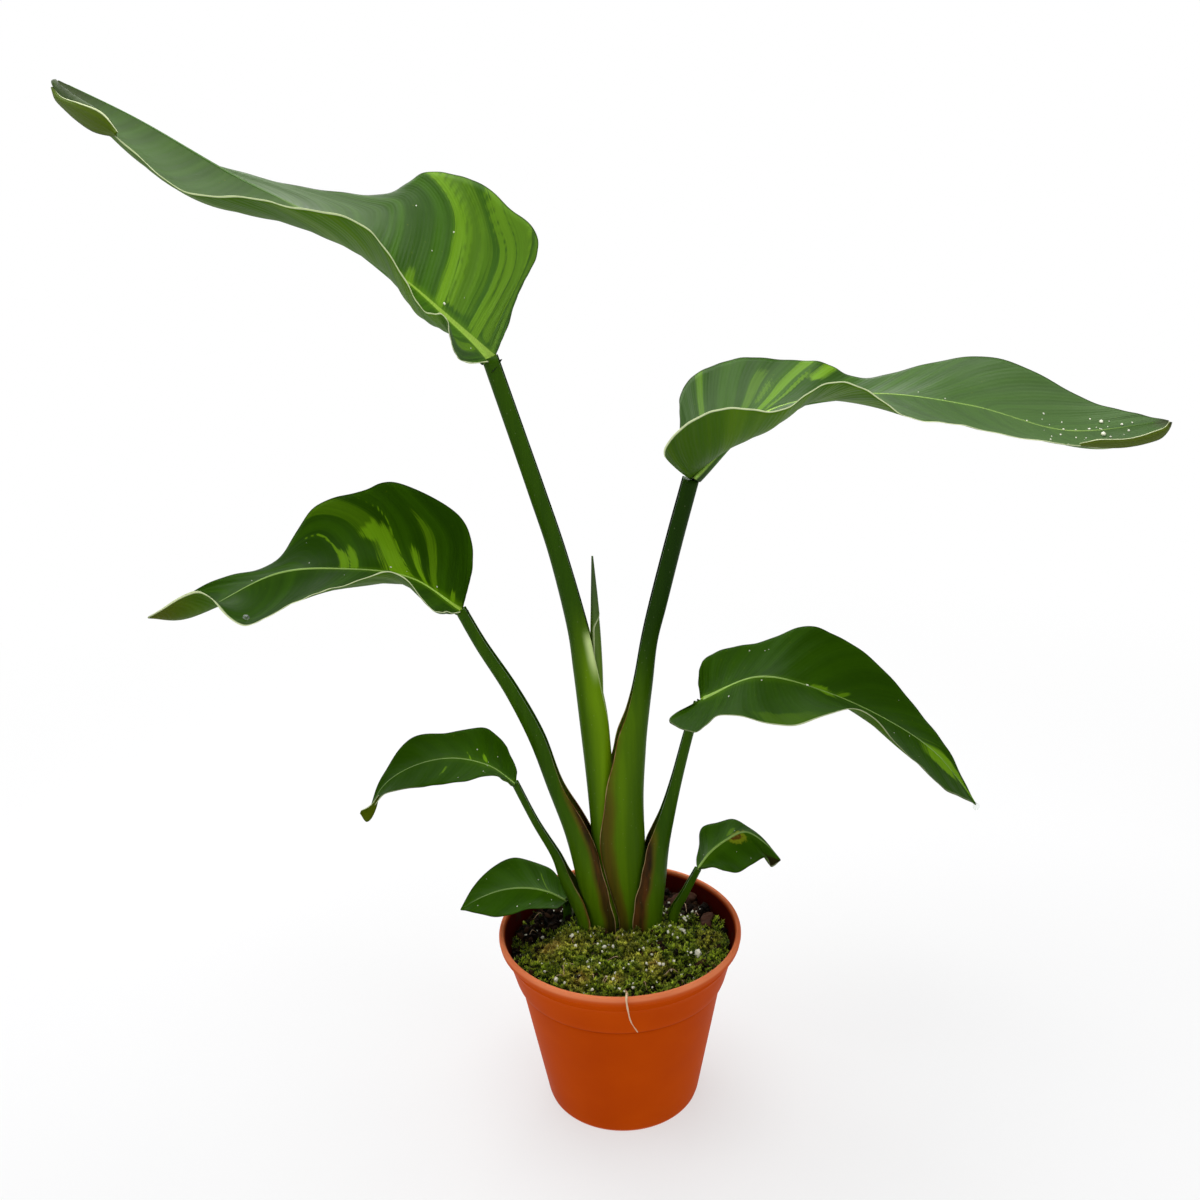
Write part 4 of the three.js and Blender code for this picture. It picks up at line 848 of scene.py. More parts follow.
def make_blade(name, seed):
    look = LOOKS[name]
    u = np.concatenate([[0.012, 0.02], np.linspace(0.03, 0.985, look.rows), [0.992, 0.997]])
    side = np.linspace(-1, 1, 2 * look.columns + 1)
    side = np.sign(side) * (0.6 * np.abs(side) + 0.4 * np.abs(side) ** 2.2)
    side[[0, -1]] = -1, 1
    u, side = np.meshgrid(u, side, indexing="ij")
    middle, width, heading = blade_surface(name, u, side)
    up = unit(np.cross(np.gradient(middle, axis=1), np.gradient(middle, axis=0))) * heading
    facts = blade_facts(name, u, side, width, look)
    phase = seed * 1.7
    ripple = RIPPLE[0] * np.sin(facts["vein"] * RIPPLE[1] + phase) * smoothstep(0.1, 0.5, np.abs(side))
    wave = WAVE[0] * np.sin(facts["vein"] * WAVE[1] + phase * 2 + np.sign(side)) * np.abs(side) ** 4 \
        * smoothstep(0, 20, width)
    middle = middle + up * (ripple + wave)[..., None]
    half = up * SHEET / 2 * (0.35 + 0.65 * smoothstep(0, 1.6, facts["rim"]))[..., None]
    shape = Shape()
    add_sheet(shape, middle + half, middle - half, (0, 1, 0), heading < 0, **facts)
    add_midrib(shape, name, heading, look.rib, look.run_out)
    if name in FOLDED_TIPS:
        add_folded_tip(shape, name, *FOLDED_TIPS[name])
    materials = [leaf_upper(name, seed, look, look.gloss * EVEN_SHINE.get(name, 1)),
                 leaf_lower(name, seed, look),
                 midrib_material(name, look.bright, look.reach, STRIPE_END.get(name, 0.8))]
    shape.build(f"leaf_{name}", materials, [f"blade_{name}"])


# Where a blade's front margin has turned over beside its tip: the turned edge, the flap's outer edge,
# how far the flap stands out towards the front, the place along the blade whose colours it has, how dry
# its end is, and from which place along the margin the blade widens to meet it (None: it doesn't)
FOLDED_TIPS = {
    "top_left": (
        [(-184.9, -25.5, 462.1), (-188.5, -24, 467.8), (-193.4, -20, 471.4), (-203.9, -9.5, 475),
         (-218, 8, 479.5), (-227, 22.5, 485.2)],
        [(-185.4, -24.5, 461.7), (-190.9, -20, 462.2), (-198.8, -14, 464.4), (-207.7, -5, 469.1),
         (-216.3, 5.5, 474.5), (-223.8, 15.5, 479.9), (-227, 22.5, 485.2)], 1.0, 0.87, 0.3, 0.89),
    "top_right": (
        [(190.7, -40.7, 333.5), (196.1, -37.3, 333.7), (200.9, -34.4, 333.9), (214.9, -26, 332.2),
         (224.1, -20.6, 332.3), (232.6, -15.5, 333.3), (238.3, -12.2, 334.1), (241.5, -10.2, 336.5)],
        [(191.3, -39.5, 332.8), (198.2, -35.3, 331.4), (212.2, -26.9, 329.1), (222.2, -21, 328.6),
         (230.7, -16, 329), (236.4, -12.7, 329.8), (239.7, -10.6, 331.5), (241.8, -9.3, 334),
         (242.7, -8.6, 336.4)], 0.5, 0.89, 0.9, None),
    "low_left": (
        [(-112.8, -4.2, 168.2), (-115.8, -4.8, 164.6), (-118.6, -4.6, 162.2), (-122.2, -3.4, 159.8)],
        [(-112.8, -4.2, 168.2), (-114.5, -5, 162.5), (-117.2, -4.6, 157.1), (-119.8, -3.6, 154.8),
         (-121.6, -3.2, 157.1), (-122.2, -3.4, 159.8)], 1.3, 0.88, 0.3, None),
}
FLAP_WIDTH = 6


def add_flap(shape, middle, kind, **facts):
    """A piece of leaf of one material and even thickness."""
    half = unit(np.cross(np.gradient(middle, axis=1), np.gradient(middle, axis=0))) * SHEET / 2
    add_sheet(shape, middle + half, middle - half, kind, **facts)


def add_folded_tip(shape, name, fold, low, bulge, along, dry, margin_from):
    """A flap of the blade that has turned over, so that its underside shows beside the tip."""
    steps, rows = 40, 16
    t = np.linspace(0.01, 0.99, steps + 1)
    b = np.linspace(0, 1, rows + 1)[:, None]
    lower = b[..., None]
    middle = curve(fold, t) * (1 - lower) + curve(low, t) * lower
    middle = middle - np.sin(np.pi * lower) * (0.2, bulge, 0) + (1 - lower) ** 4 * (0, 0.9, 0.2)
    from_fold = FLAP_WIDTH * b + 0 * t
    add_flap(shape, middle, 1, vein=from_fold * 2, across=from_fold, along=along,
             rim=np.minimum(from_fold * 2, FLAP_WIDTH + 0.2 - from_fold),
             cream=np.where(from_fold < FLAP_WIDTH / 2, 1.0, 0.0), tip=dry * smoothstep(0.86, 1, t))
    if margin_from:
        edge = blade_surface(name, margin_from + (1 - margin_from) * t, np.ones(t.shape))[0]
        start = edge * (1 - lower) + middle[0] * lower
        start = start + (np.sin(np.pi * b) * smoothstep(0.7, 1, t))[..., None] * (-1.2, 0, 1.0)
        # This widening piece darkens towards the tip with the same painted shade
        add_flap(shape, start, 0, vein=20 * t, across=10.0, along=along, rim=9.0, tip=0.7 - 0.2 * b)


def add_midrib(shape, name, heading, width, run_out):
    """The midrib: a tapering rib under the blade whose top just shows above it."""
    midrib = BLADES[name]["midrib"]
    stalk_end = STALKS[name][-1]
    steps, sides = 90, 20
    t = np.linspace(0, 0.97, steps + 1)
    u = np.sqrt(t)
    along = tangent(midrib, t)
    both = [blade_surface(name, u, np.full(u.shape, side))[0] for side in (-0.04, 0.04)]
    across = unit(both[1] - both[0] + 1e-6)
    across = unit(across - along * np.sum(across * along, 1, keepdims=True))
    up = unit(np.cross(across, along)) * heading
    taper = (1 - t) ** 1.1
    joint = np.exp(-t / run_out)
    half_width = 0.22 + width * taper + (stalk_end[1][0] * 0.92 - width - 0.22) * joint
    half_depth = 0.35 + width * taper + (stalk_end[1][1] * 0.6 - width - 0.35) * joint
    lift = 0.34 + 0.25 * taper * min(width, 1.2) - half_depth
    angle = ring_angles(sides)
    c, s = np.cos(angle), np.sin(angle)
    top = np.where(s > 0, s * (1 - 0.35 * np.exp(-(c / 0.35) ** 2)), s)
    points = (curve(midrib, t) + up * lift[:, None])[:, None] \
        + across[:, None] * (half_width[:, None] * c)[..., None] \
        + up[:, None] * (half_depth[:, None] * top)[..., None]
    points[0] -= unit(np.subtract(stalk_end[0], STALKS[name][-2][0])) * 2.5
    blocks = tube_faces(steps + 1, sides)
    if heading > 0:
        blocks = [block[:, ::-1] for block in blocks]
    shape.add(points, blocks, 2, rim=9.0, along=np.repeat(t, sides), top=np.tile(s, steps + 1),
              round=np.tile(c, steps + 1))


# Stalks

RING_STEPS = 12
STALK_SIDES = 40
# Where a sheath is pale: up to which height, and how strongly on its wings and on its back
PALE = {"top_left": (262, 1.0, 0.15), "top_right": (235, 0.42, 0.15), "mid_left": (160, 0.5, 0.3),
        "mid_right": (140, 0.45, 0.25), "low_left": (128, 0.6, 0.5), "base_left": (95, 0.3, 0.3),
        "base_right": (110, 0.7, 0.6)}
PALE_FADE = 60
# Where a sheath turns dry, as a share of its reach, how strongly its very edge is dry, and how much
# of the dry part is maroon
BROWN = {"top_right": (0.60, 1.0, 0.5), "mid_left": (0.58, 1.0, 0.95), "mid_right": (0.5, 1.0, 1.0),
         "low_left": (0.75, 0.8, 0.8)}
NOT_BROWN = (1.2, 0.0, 0.0)
# How much painted shade darkens a stalk towards its blade, and between which heights
SHADE = {"top_right": 0.75, "top_left": 0.15}
SHADE_HEIGHTS = (205, 255)


def stalk_facts(name, height, k, reach, half_x, solid):
    """What the stalks' material reads at each place: k runs from -1 to 1 between the wings' edges."""
    on_wing = np.abs(k)
    top, wing_share, back_share = PALE[name]
    pale = (1 - smoothstep(top - PALE_FADE, top, height)) \
        * (back_share + (wing_share - back_share) * smoothstep(0.3, 0.75, on_wing))
    start, dry, maroon = BROWN.get(name, NOT_BROWN)
    brown = smoothstep(start, start + 0.45, on_wing) * (1 - solid) * 1.2
    if name == "top_right":
        brown = brown * (1 - 0.7 * smoothstep(130, 180, height))
    rim = (1 - on_wing) * reach * half_x
    cream = 0 * rim
    if name == "top_left":
        closed = 1 - smoothstep(236, 244, height)
        opening = smoothstep(214, 230, height) * closed
        cream = opening * smoothstep(0.68, 0.92, on_wing) \
            + smoothstep(150, 220, height) * closed * (1 - smoothstep(0.4, 0.7, rim)) * 0.8
    return dict(rim=rim, sheath=1 - solid, brown=brown, dry=dry, maroon=maroon, pale=pale,
                cream=np.minimum(cream, 1), shade=SHADE.get(name, 0) * smoothstep(*SHADE_HEIGHTS, height))


def make_stalk(name):
    """A stalk: a sheath open towards the younger stalks, that closes to a channelled rod above."""
    sections = STALKS[name]
    out = -1 if name.endswith("left") else 1
    t = np.linspace(0, 1, (len(sections) - 1) * RING_STEPS + 1)
    middles = [s[0] for s in sections]
    centre = curve(middles, t)
    along = tangent(middles, t)
    along[0] = (0, 0, 1)
    half_x, half_y = (value([s[1][i] for s in sections], t)[:, None] for i in (0, 1))
    back, solid = (value([s[i] for s in sections], t)[:, None] for i in (2, 4))
    solid = np.clip(solid, 0, 1)
    flutter = 2.5 * np.sin(t * 23 + len(name)) + 1.5 * np.sin(t * 61)
    reach = np.radians(value([s[3] for s in sections], t) + flutter * (1 - solid[:, 0]))[:, None]
    across = unit(np.array([1.0, 0, 0]) - along * along[:, :1])
    depth = unit(np.cross(along, across))
    k = np.linspace(-1, 1, STALK_SIDES + 1)[None]
    angle = reach * k
    c, s = np.cos(angle), np.sin(angle)
    wing = (1.0 + 0.2 * solid) * (1 - 0.75 * smoothstep(0.72, 1, np.abs(k)) * (1 - solid))
    wall = wing + (back - wing) * np.maximum(0, c) ** 1.5
    channel = half_x * (np.cos(reach) + 0.25 * np.cos(angle * np.pi / 2 / reach))
    inner_x = (1 - solid) * (half_x - wall) * c + solid * channel
    inner_y = (half_y - ((1 - solid) * wall + solid * wing)) * s

    def place(x, y):
        return centre[:, None] + out * (across[:, None] * x[..., None] + depth[:, None] * y[..., None])

    facts = stalk_facts(name, centre[:, 2:3], k, reach, half_x, solid)
    shape = Shape()
    add_sheet(shape, place(half_x * c, half_y * s), place(inner_x, inner_y),
              inside=np.array([0.0, 1.0])[:, None, None], **facts)
    shape.build(f"petiole_{name}", [STALK], [f"stalk_{name}"])


def make_spear():
    """The rolled leaf: a spiral section whose outer edge stands proud as a seam that winds up it."""
    steps, sides = 80, 48
    t = np.linspace(0, 1, steps + 1)
    turn = np.linspace(0, 1, sides, endpoint=False)
    radius = value(SPEAR["radii"], t)[:, None] * (1 + SPEAR["overlap"] * turn[None])
    angle = 2 * np.pi * (turn[None] + 0.1 * t[:, None]) + np.pi * smoothstep(0.68, 0.81, t)[:, None] + 4.2
    around = np.stack([radius * np.cos(angle), radius * np.sin(angle), 0 * angle], -1)
    shape = Shape()
    shape.add(curve(SPEAR["path"], t)[:, None] + around, tube_faces(steps + 1, sides),
              rise=np.repeat(t, sides), seam=np.tile(turn, steps + 1))
    shape.build("rolled_leaf", [SPEAR_LEAF], ["new_leaf_spear"])


# Pot


def lathe(shape, profile, sides, **values):
    """A closed solid turned round the pot's axis from a profile that starts and ends on it."""
    r, z = np.array(profile, float).T
    angle = ring_angles(sides)
    rings = np.stack([r[1:-1, None] * np.cos(angle), r[1:-1, None] * np.sin(angle),
                      z[1:-1, None] + 0 * angle], -1)
    points = np.vstack([rings.reshape(-1, 3), [[0, 0, z[0]], [0, 0, z[-1]]]])
    spread = {key: np.concatenate([np.repeat(v[1:-1], sides), v[[0, -1]]]) for key, v in values.items()}
    shape.add(points, ball_faces(len(profile) - 2, sides), **spread)


BAND_FOOT_HEIGHT = POT["height"] - POT["band_height"]


def pot_body(z):
    """The pot's outer radius below its band."""
    return POT["base"] + (POT["body_top"] - POT["base"]) * z / BAND_FOOT_HEIGHT


def pot_band(z):
    """The outer radius of the wide band at the pot's top."""
    share = (z - BAND_FOOT_HEIGHT) / POT["band_height"]
    return POT["band_foot"] + (POT["band_top"] - POT["band_foot"]) * share


def pot_inside(z):
    return np.where(z < BAND_FOOT_HEIGHT, pot_body(z), pot_band(z)) - POT["wall"]


def pot_outline():
    """Rows of radius, height, painted highlight, 1 on the inside, which is darkened with painted shade, and
    the painted shade in the groove under the band, from the pot's axis under its floor, round its lip, to the
    axis above the floor."""
    chamfer, foot, step, lip, top = POT["chamfer"], POT["base"], BAND_FOOT_HEIGHT, POT["lip"], POT["height"]
    body, band, lip_foot = POT["body_top"], POT["band_foot"], top - POT["lip_height"]
    rows = [(0, 0), (30, 0), (foot - chamfer, 0, 0.3)]
    for a in np.radians(np.linspace(-80, -10, 5)):
        rows.append((foot - chamfer * (1 - math.cos(a)), chamfer * (1 + math.sin(a)), 0.5))
    rows += [(pot_body(z), z) for z in np.linspace(3, step - 3, 18)]
    rows += [(body - 0.35, step - 1.6), (body - 0.55, step - 0.7, 0, 0, 1), (body - 0.2, step - 0.1, 0, 0, 1),
             (band - 0.5, step, 0, 0, 1), (band - 0.1, step + 0.3, 0.2, 0, 0.5), (band + 0.12, step + 1, 0.4)]
    rows += [(pot_band(z), z) for z in np.linspace(step + 2, lip_foot - 5.2, 7)]
    rows += [(pot_band(lip_foot - 4.6) + 0.28, lip_foot - 4.6, 0.25),
             (pot_band(lip_foot - 3.9) + 0.05, lip_foot - 3.9), (pot_band(lip_foot - 1.6), lip_foot - 1.6),
             (lip - 1.05, lip_foot - 0.5), (lip - 0.4, lip_foot + 0.1, 0.3)]
    rows += [(lip, top - 2.4, 0.5), (lip - 0.02, top - 1.4, 0.8), (lip - 0.25, top - 0.6, 1),
             (lip - 0.8, top - 0.12, 1), (lip - 1.4, top, 1), (lip - 2.0, top - 0.2, 1),
             (POT["band_top"] - POT["wall"], top - 1, 0.7, 0.4)]
    rows += [(pot_inside(z), z, 0, 1) for z in np.linspace(top - 2.5, step + 0.8, 9)]
    rows += [(pot_inside(z), z, 0, 1) for z in np.linspace(step - 1.6, POT["floor"] + 1, 8)]
    rows += [(pot_inside(POT["floor"]) - 1, POT["floor"], 0, 1), (0, POT["floor"], 0, 1)]
    return np.array([(*row, 0, 0, 0)[:5] for row in rows])


def make_pot():
    outline = pot_outline()
    shape = Shape()
    lathe(shape, outline[:, :2], POT["sides"], worn=outline[:, 2], inside=outline[:, 3], crease=outline[:, 4])
    cut_drain_holes(shape.build("pot_shell", [pot_material()], ["pot"]))


def cut_drain_holes(pot):
    """Cut the drain holes through the pot's floor, and keep its creases sharp."""
    shape = Shape()
    for i in range(POT["drain_holes"]):
        a = (i + 0.5) * 2 * math.pi / POT["drain_holes"]
        x, y = POT["drain_circle"] * math.cos(a), POT["drain_circle"] * math.sin(a)
        tube(shape, [(x, y, -4), (x, y, POT["floor"] + 4)], lambda t: POT["drain_radius"], 1, 32)
    drills = shape.build("drills", [])
    cut = pot.modifiers.new("drain_holes", "BOOLEAN")
    cut.operation, cut.solver, cut.object = "DIFFERENCE", "EXACT", drills
    depsgraph = bpy.context.evaluated_depsgraph_get()
    mesh = bpy.data.meshes.new_from_object(pot.evaluated_get(depsgraph))
    pot.modifiers.clear()
    pot.data = mesh
    mesh.polygons.foreach_set("use_smooth", np.full(len(mesh.polygons), True))
    mesh.set_sharp_from_angle(angle=math.radians(38))
    bpy.data.objects.remove(drills)


# Soil and moss


def soil_height(x, y):
    swell = np.sin(0.31 * x + 1) * np.cos(0.27 * y) + 0.6 * np.sin(0.53 * x - 0.47 * y + 2)
    return SOIL["level"] + SOIL["lump"] * swell + 0.02 * (x + y)


def lumps(x, y, scale, seed):
    """Smooth noise from a few sine waves in turned directions."""
    turns = np.random.default_rng(seed)
    total = 0 * x
    for octave in range(5):
        a, phase = turns.uniform(0, 2 * np.pi, 2)
        size = scale * 1.7**octave
        wave = np.sin(size * (x * np.cos(a) + y * np.sin(a)) + phase)
        total = total + wave * np.cos(size * 0.8 * (y * np.cos(a) - x * np.sin(a)) + phase * 2) / 1.35**octave
    return total


def make_soil():
    sides, rings = 220, 90
    rim = pot_inside(SOIL["level"]) - 0.6
    share = np.linspace(0, 1, rings + 1)[1:]
    angle = ring_angles(sides)
    x, y = rim * share[:, None] * np.cos(angle), rim * share[:, None] * np.sin(angle)
    z = soil_height(x, y) + 0.45 * lumps(x, y, 0.9, 3)
    z = np.where(share[:, None] > 0.97, np.minimum(z, SOIL["level"] - 0.3), z)
    z[-1] = SOIL["level"] - 1.6
    levels = [60, 30, POT["floor"] + 0.6]
    walls = [np.stack([np.cos(angle) * (pot_inside(z0) - 0.8), np.sin(angle) * (pot_inside(z0) - 0.8),
                       0 * angle + z0], -1) for z0 in levels]
    points = np.vstack([np.stack([x, y, z], -1).reshape(-1, 3), *walls,
                        [[0, 0, soil_height(0.0, 0.0)], [0, 0, levels[-1]]]])
    shape = Shape()
    shape.add(points, [block[:, ::-1] for block in ball_faces(rings + len(levels), sides)])
    shape.build("potting_mix", [soil_material()], ["soil"])


def moss_reach(angle):
    front = np.maximum(0, -np.sin(angle))
    return MOSS["reach"] * (0.86 + 0.75 * front + 0.12 * np.sin(3 * angle + 1) + 0.07 * np.sin(7 * angle))


def moss_place(angle, share):
    """A place on the moss: its angle round the clump and its share of the way to the moss's edge."""
    reach = moss_reach(angle) * share
    x, y = CLUMP[0] + reach * np.cos(angle), CLUMP[1] + reach * np.sin(angle)
    pull = np.minimum(1, (pot_inside(SOIL["level"]) - 3) / np.maximum(np.hypot(x, y), 1))
    x, y = x * pull, y * pull
    cushions = np.abs(np.sin(0.2 * x + 0.7) * np.cos(0.23 * y + 0.4)) \
        + 0.45 * np.sin(0.5 * x + 0.35 * y) * np.sin(0.4 * y - 0.2 * x)
    z = SOIL["level"] + MOSS["height"] * (0.35 + 0.6 * cushions) * (1 - share**6) + 2 - 6 * share**10
    return x, y, z


def make_moss_bed():
    sides, rings = 200, 80
    share = np.linspace(0, 1, rings + 1)[1:, None]
    angle = ring_angles(sides)[None]
    x, y, z = moss_place(angle + 0 * share, share + 0 * angle)
    z = z - 1.3 + 0.6 * lumps(x, y, 0.8, 11)
    bottom = np.minimum(z, soil_height(x, y)) - 1.5
    count = x.size
    shape = Shape()
    quads = grid_faces(rings, sides, wrap=True)
    points = np.vstack([np.stack([x, y, z], -1).reshape(-1, 3), np.stack([x, y, bottom], -1).reshape(-1, 3),
                        [[*CLUMP, SOIL["level"] + 1]], [[*CLUMP, SOIL["level"] - 6]]])
    edge = count - sides + np.arange(sides)
    after = np.roll(edge, -1)
    wall = np.stack([edge, count + edge, count + after, after], -1)
    shape.add(points, [quads[:, ::-1], quads + count, fan(2 * count, 0, sides),
                       fan(2 * count + 1, count, sides, turned=True), wall])
    shape.build("moss_cushions", [moss_bed_material()], ["moss"])


def in_clump(x, y, grow=0.0):
    """Whether a place is under the stalks: the main clump, or the outer leaves' stalks beside it."""
    main = ((x + 1) / (22 + grow)) ** 2 + ((y - 14) / (15.5 + grow)) ** 2 < 1
    left = np.hypot(x + 26, y - 21.5) < 3.5 + grow
    right = np.hypot(x - 27, y - 13) < 3.8 + grow
    return main | left | right


def turned(count, tilt):
    """Random turns about Z after a random lean of up to tilt radians, as matrices."""
    spin = rng.uniform(0, 2 * np.pi, count)
    lean = rng.uniform(0, tilt, count)
    way = rng.uniform(0, 2 * np.pi, count)
    axis = np.stack([np.cos(way), np.sin(way), 0 * way], -1)
    c, s = np.cos(lean), np.sin(lean)
    cross = np.zeros((count, 3, 3))
    cross[:, 0, 2], cross[:, 1, 2] = axis[:, 1], -axis[:, 0]
    cross[:, 2, 0], cross[:, 2, 1] = -axis[:, 1], axis[:, 0]
    leaning = np.eye(3) * c[:, None, None] + s[:, None, None] * cross \
        + (1 - c)[:, None, None] * axis[:, :, None] * axis[:, None, :]
    spinning = np.zeros((count, 3, 3))
    spinning[:, 0, 0] = spinning[:, 1, 1] = np.cos(spin)
    spinning[:, 1, 0], spinning[:, 0, 1] = np.sin(spin), -np.sin(spin)
    spinning[:, 2, 2] = 1
    return leaning @ spinning


def scatter(shape, base, faces, places, sizes, turns, **values):
    """Copies of a small mesh at many places, each with its own size and turn."""
    points = np.einsum("nij,vj->nvi", turns, base) * sizes[:, None, None] + places[:, None]
    offsets = (np.arange(len(places)) * len(base))[:, None, None]
    shape.add(points, [(faces[None] + offsets).reshape(-1, faces.shape[1])],
              **{key: np.broadcast_to(v, (len(places), len(base))) for key, v in values.items()})


def pebble(seed, jitter):
    """A small uneven stone of 20 faces."""
    g = (1 + 5**0.5) / 2
    corners = np.array([(-1, g, 0), (1, g, 0), (-1, -g, 0), (1, -g, 0), (0, -1, g), (0, 1, g),
                        (0, -1, -g), (0, 1, -g), (g, 0, -1), (g, 0, 1), (-g, 0, -1), (-g, 0, 1)]) / 1.9
    faces = np.array([(0, 11, 5), (0, 5, 1), (0, 1, 7), (0, 7, 10), (0, 10, 11), (1, 5, 9), (5, 11, 4),
                      (11, 10, 2), (10, 7, 6), (7, 1, 8), (3, 9, 4), (3, 4, 2), (3, 2, 6), (3, 6, 8),
                      (3, 8, 9), (4, 9, 5), (2, 4, 11), (6, 2, 10), (8, 6, 7), (9, 8, 1)])
    local = np.random.default_rng(seed)
    return corners * (1 + local.uniform(-jitter, jitter, (12, 1))) * local.uniform(0.6, 1.2, (1, 3)), faces


def disc_places(count, reach):
    """Random places spread evenly round the pot's axis."""
    angle = rng.uniform(0, 2 * np.pi, count)
    radius = reach * np.sqrt(rng.uniform(0, 1, count))
    return radius * np.cos(angle), radius * np.sin(angle)


def surface_height(x, y):
    """The height of what shows at a place, the moss where it lies or else the soil, and the place's
    share of the way to the moss's edge."""
    dx, dy = x - CLUMP[0], y - CLUMP[1]
    angle = np.arctan2(dy, dx)
    share = np.hypot(dx, dy) / moss_reach(angle)
    moss = moss_place(angle, np.minimum(share, 1))[2]
    return np.where(share < 0.97, np.maximum(moss - 0.6, soil_height(x, y)), soil_height(x, y)), share


CRUMB_KINDS = 6
CRUMBS_OF_A_KIND = 700


def make_crumbs():
    """Loose peat crumbs and bark bits on the soil."""
    shape = Shape()
    for kind in range(CRUMB_KINDS):
        x, y = disc_places(CRUMBS_OF_A_KIND, 53)
        z, share = surface_height(x, y)
        keep = ~in_clump(x, y) & ((share > 0.9) | (rng.uniform(0, 1, x.size) < 0.12 + fields(OPEN, x, y)))
        x, y, z = x[keep], y[keep], z[keep]
        sizes = np.minimum(rng.gamma(2.2, 0.34, x.size) + 0.3, 2.0)
        base, faces = pebble(kind, 0.35)
        base = base * (1.5, 0.8, 0.55) if kind % 3 == 0 else base
        scatter(shape, base, faces, np.stack([x, y, z + 0.1 * sizes], -1), sizes, turned(x.size, 0.8),
                shade=rng.uniform(0, 1, (x.size, 1)) ** 2)
    shape.build("soil_crumbs", [crumb_material()], smooth=False)


# Larger grains of perlite, each with its place and size
PERLITE = [(-39, 7, 1.5), (-11, -15, 1.0), (-8, -16, 1.1), (-9, -19, 0.8), (-3, 10, 1.0), (4, 10, 1.2),
           (11, -15, 1.3), (9, -18, 0.8), (37, -15, 1.9), (34, -17, 1.0), (32, -1, 1.2), (30, 2, 1.0),
           (-31, -33, 1.3), (-27, -35, 1.0), (5, -44, 1.2), (-7, 8, 0.9), (21, 25, 1.1), (-35, -37, 0.9),
           (-40, -25, 0.8), (33, 12, 1.2), (35, 15, 1.0), (24, -3, 0.9), (20, -27, 1.1), (-3, -33, 0.9),
           (47, 4, 1.1), (-22, -12, 0.8), (-48, -2, 0.8)]
SMALL_PERLITE = 260


def make_perlite():
    """Perlite grains, small ones at random and larger ones where the table has them."""
    shape = Shape()
    x, y = disc_places(SMALL_PERLITE, 51)
    sizes = rng.uniform(0.3, 0.95, x.size)
    hand = np.array(PERLITE, float)
    x, y = np.concatenate([x, hand[:, 0]]), np.concatenate([y, hand[:, 1]])
    sizes = np.concatenate([sizes, hand[:, 2]])
    keep = ~in_clump(x, y, 1)
    x, y, sizes = x[keep], y[keep], sizes[keep]
    z, share = surface_height(x, y)
    lift = np.where(share < 0.95, 2.0, 0.3) + 0.3 * sizes
    for kind in range(4):
        pick = np.arange(x.size) % 4 == kind
        base, faces = pebble(20 + kind, 0.3)
        scatter(shape, base, faces, np.stack([x, y, z + lift], -1)[pick], sizes[pick],
                turned(int(pick.sum()), 1.5))
    shape.build("perlite", [perlite_material()], smooth=False)


def moss_shoot(leaflets, seed):
    """One moss shoot: narrow folded leaflets that spread in a star from a short stem."""
    local = np.random.default_rng(seed)
    points, faces = [], []
    for i in range(leaflets):
        a = 2 * np.pi * i * 0.618 + local.uniform(-0.3, 0.3)
        rise = 0.25 + 0.75 * i / (leaflets - 1)
        outward = np.array([np.cos(a), np.sin(a), 0])
        sideways = np.array([-np.sin(a), np.cos(a), 0])
        root = np.array([0, 0, 0.5 * rise])
        middle = root + outward * (0.34 - 0.16 * rise) + np.array([0, 0, 0.10 + 0.22 * rise])
        end = root + outward * (0.75 - 0.4 * rise) + np.array([0, 0, 0.10 + 0.5 * rise])
        keel = middle - (0, 0, 0.05)
        start = len(points)
        points += [root, middle + sideways * 0.13, middle - sideways * 0.13, end, keel]
        faces += [(start, start + 4, start + 1), (start, start + 2, start + 4),
                  (start + 4, start + 3, start + 1), (start + 2, start + 3, start + 4)]
    return np.array(points), np.array(faces)


# Where the moss is golden, and where it is open down to the dark soil: place, reach and strength
GOLD = [(-35, -8, 7, 1.3), (-20, -34, 6, 1.0), (-3, -37, 4.5, 0.9), (16, -27, 7, 0.9), (44, -2, 6, 0.7),
        (-20, -8, 9, 0.5), (2, -5, 10, 0.35), (-30, -22, 7, 0.2), (6, -20, 7, 0.3)]
OPEN = [(4, -44, 3.2, 1.3), (20, -11, 6.5, 1.2), (-46, 8, 9, 1.3), (-52, -8, 5, 0.9), (40, 30, 16, 1.6),
        (0, 45, 30, 1.8), (-32, 26, 13, 1.5), (30, 5, 4, 0.4)]


def fields(spots, x, y):
    """The strength at a place of spots that fade outwards."""
    return sum(strength * np.exp(-((x - a) ** 2 + (y - b) ** 2) / reach**2)
               for a, b, reach, strength in spots)


SHOOT_PARTS = 4
SHOOT_KINDS = 3
SHOOTS_OF_A_KIND = 1150


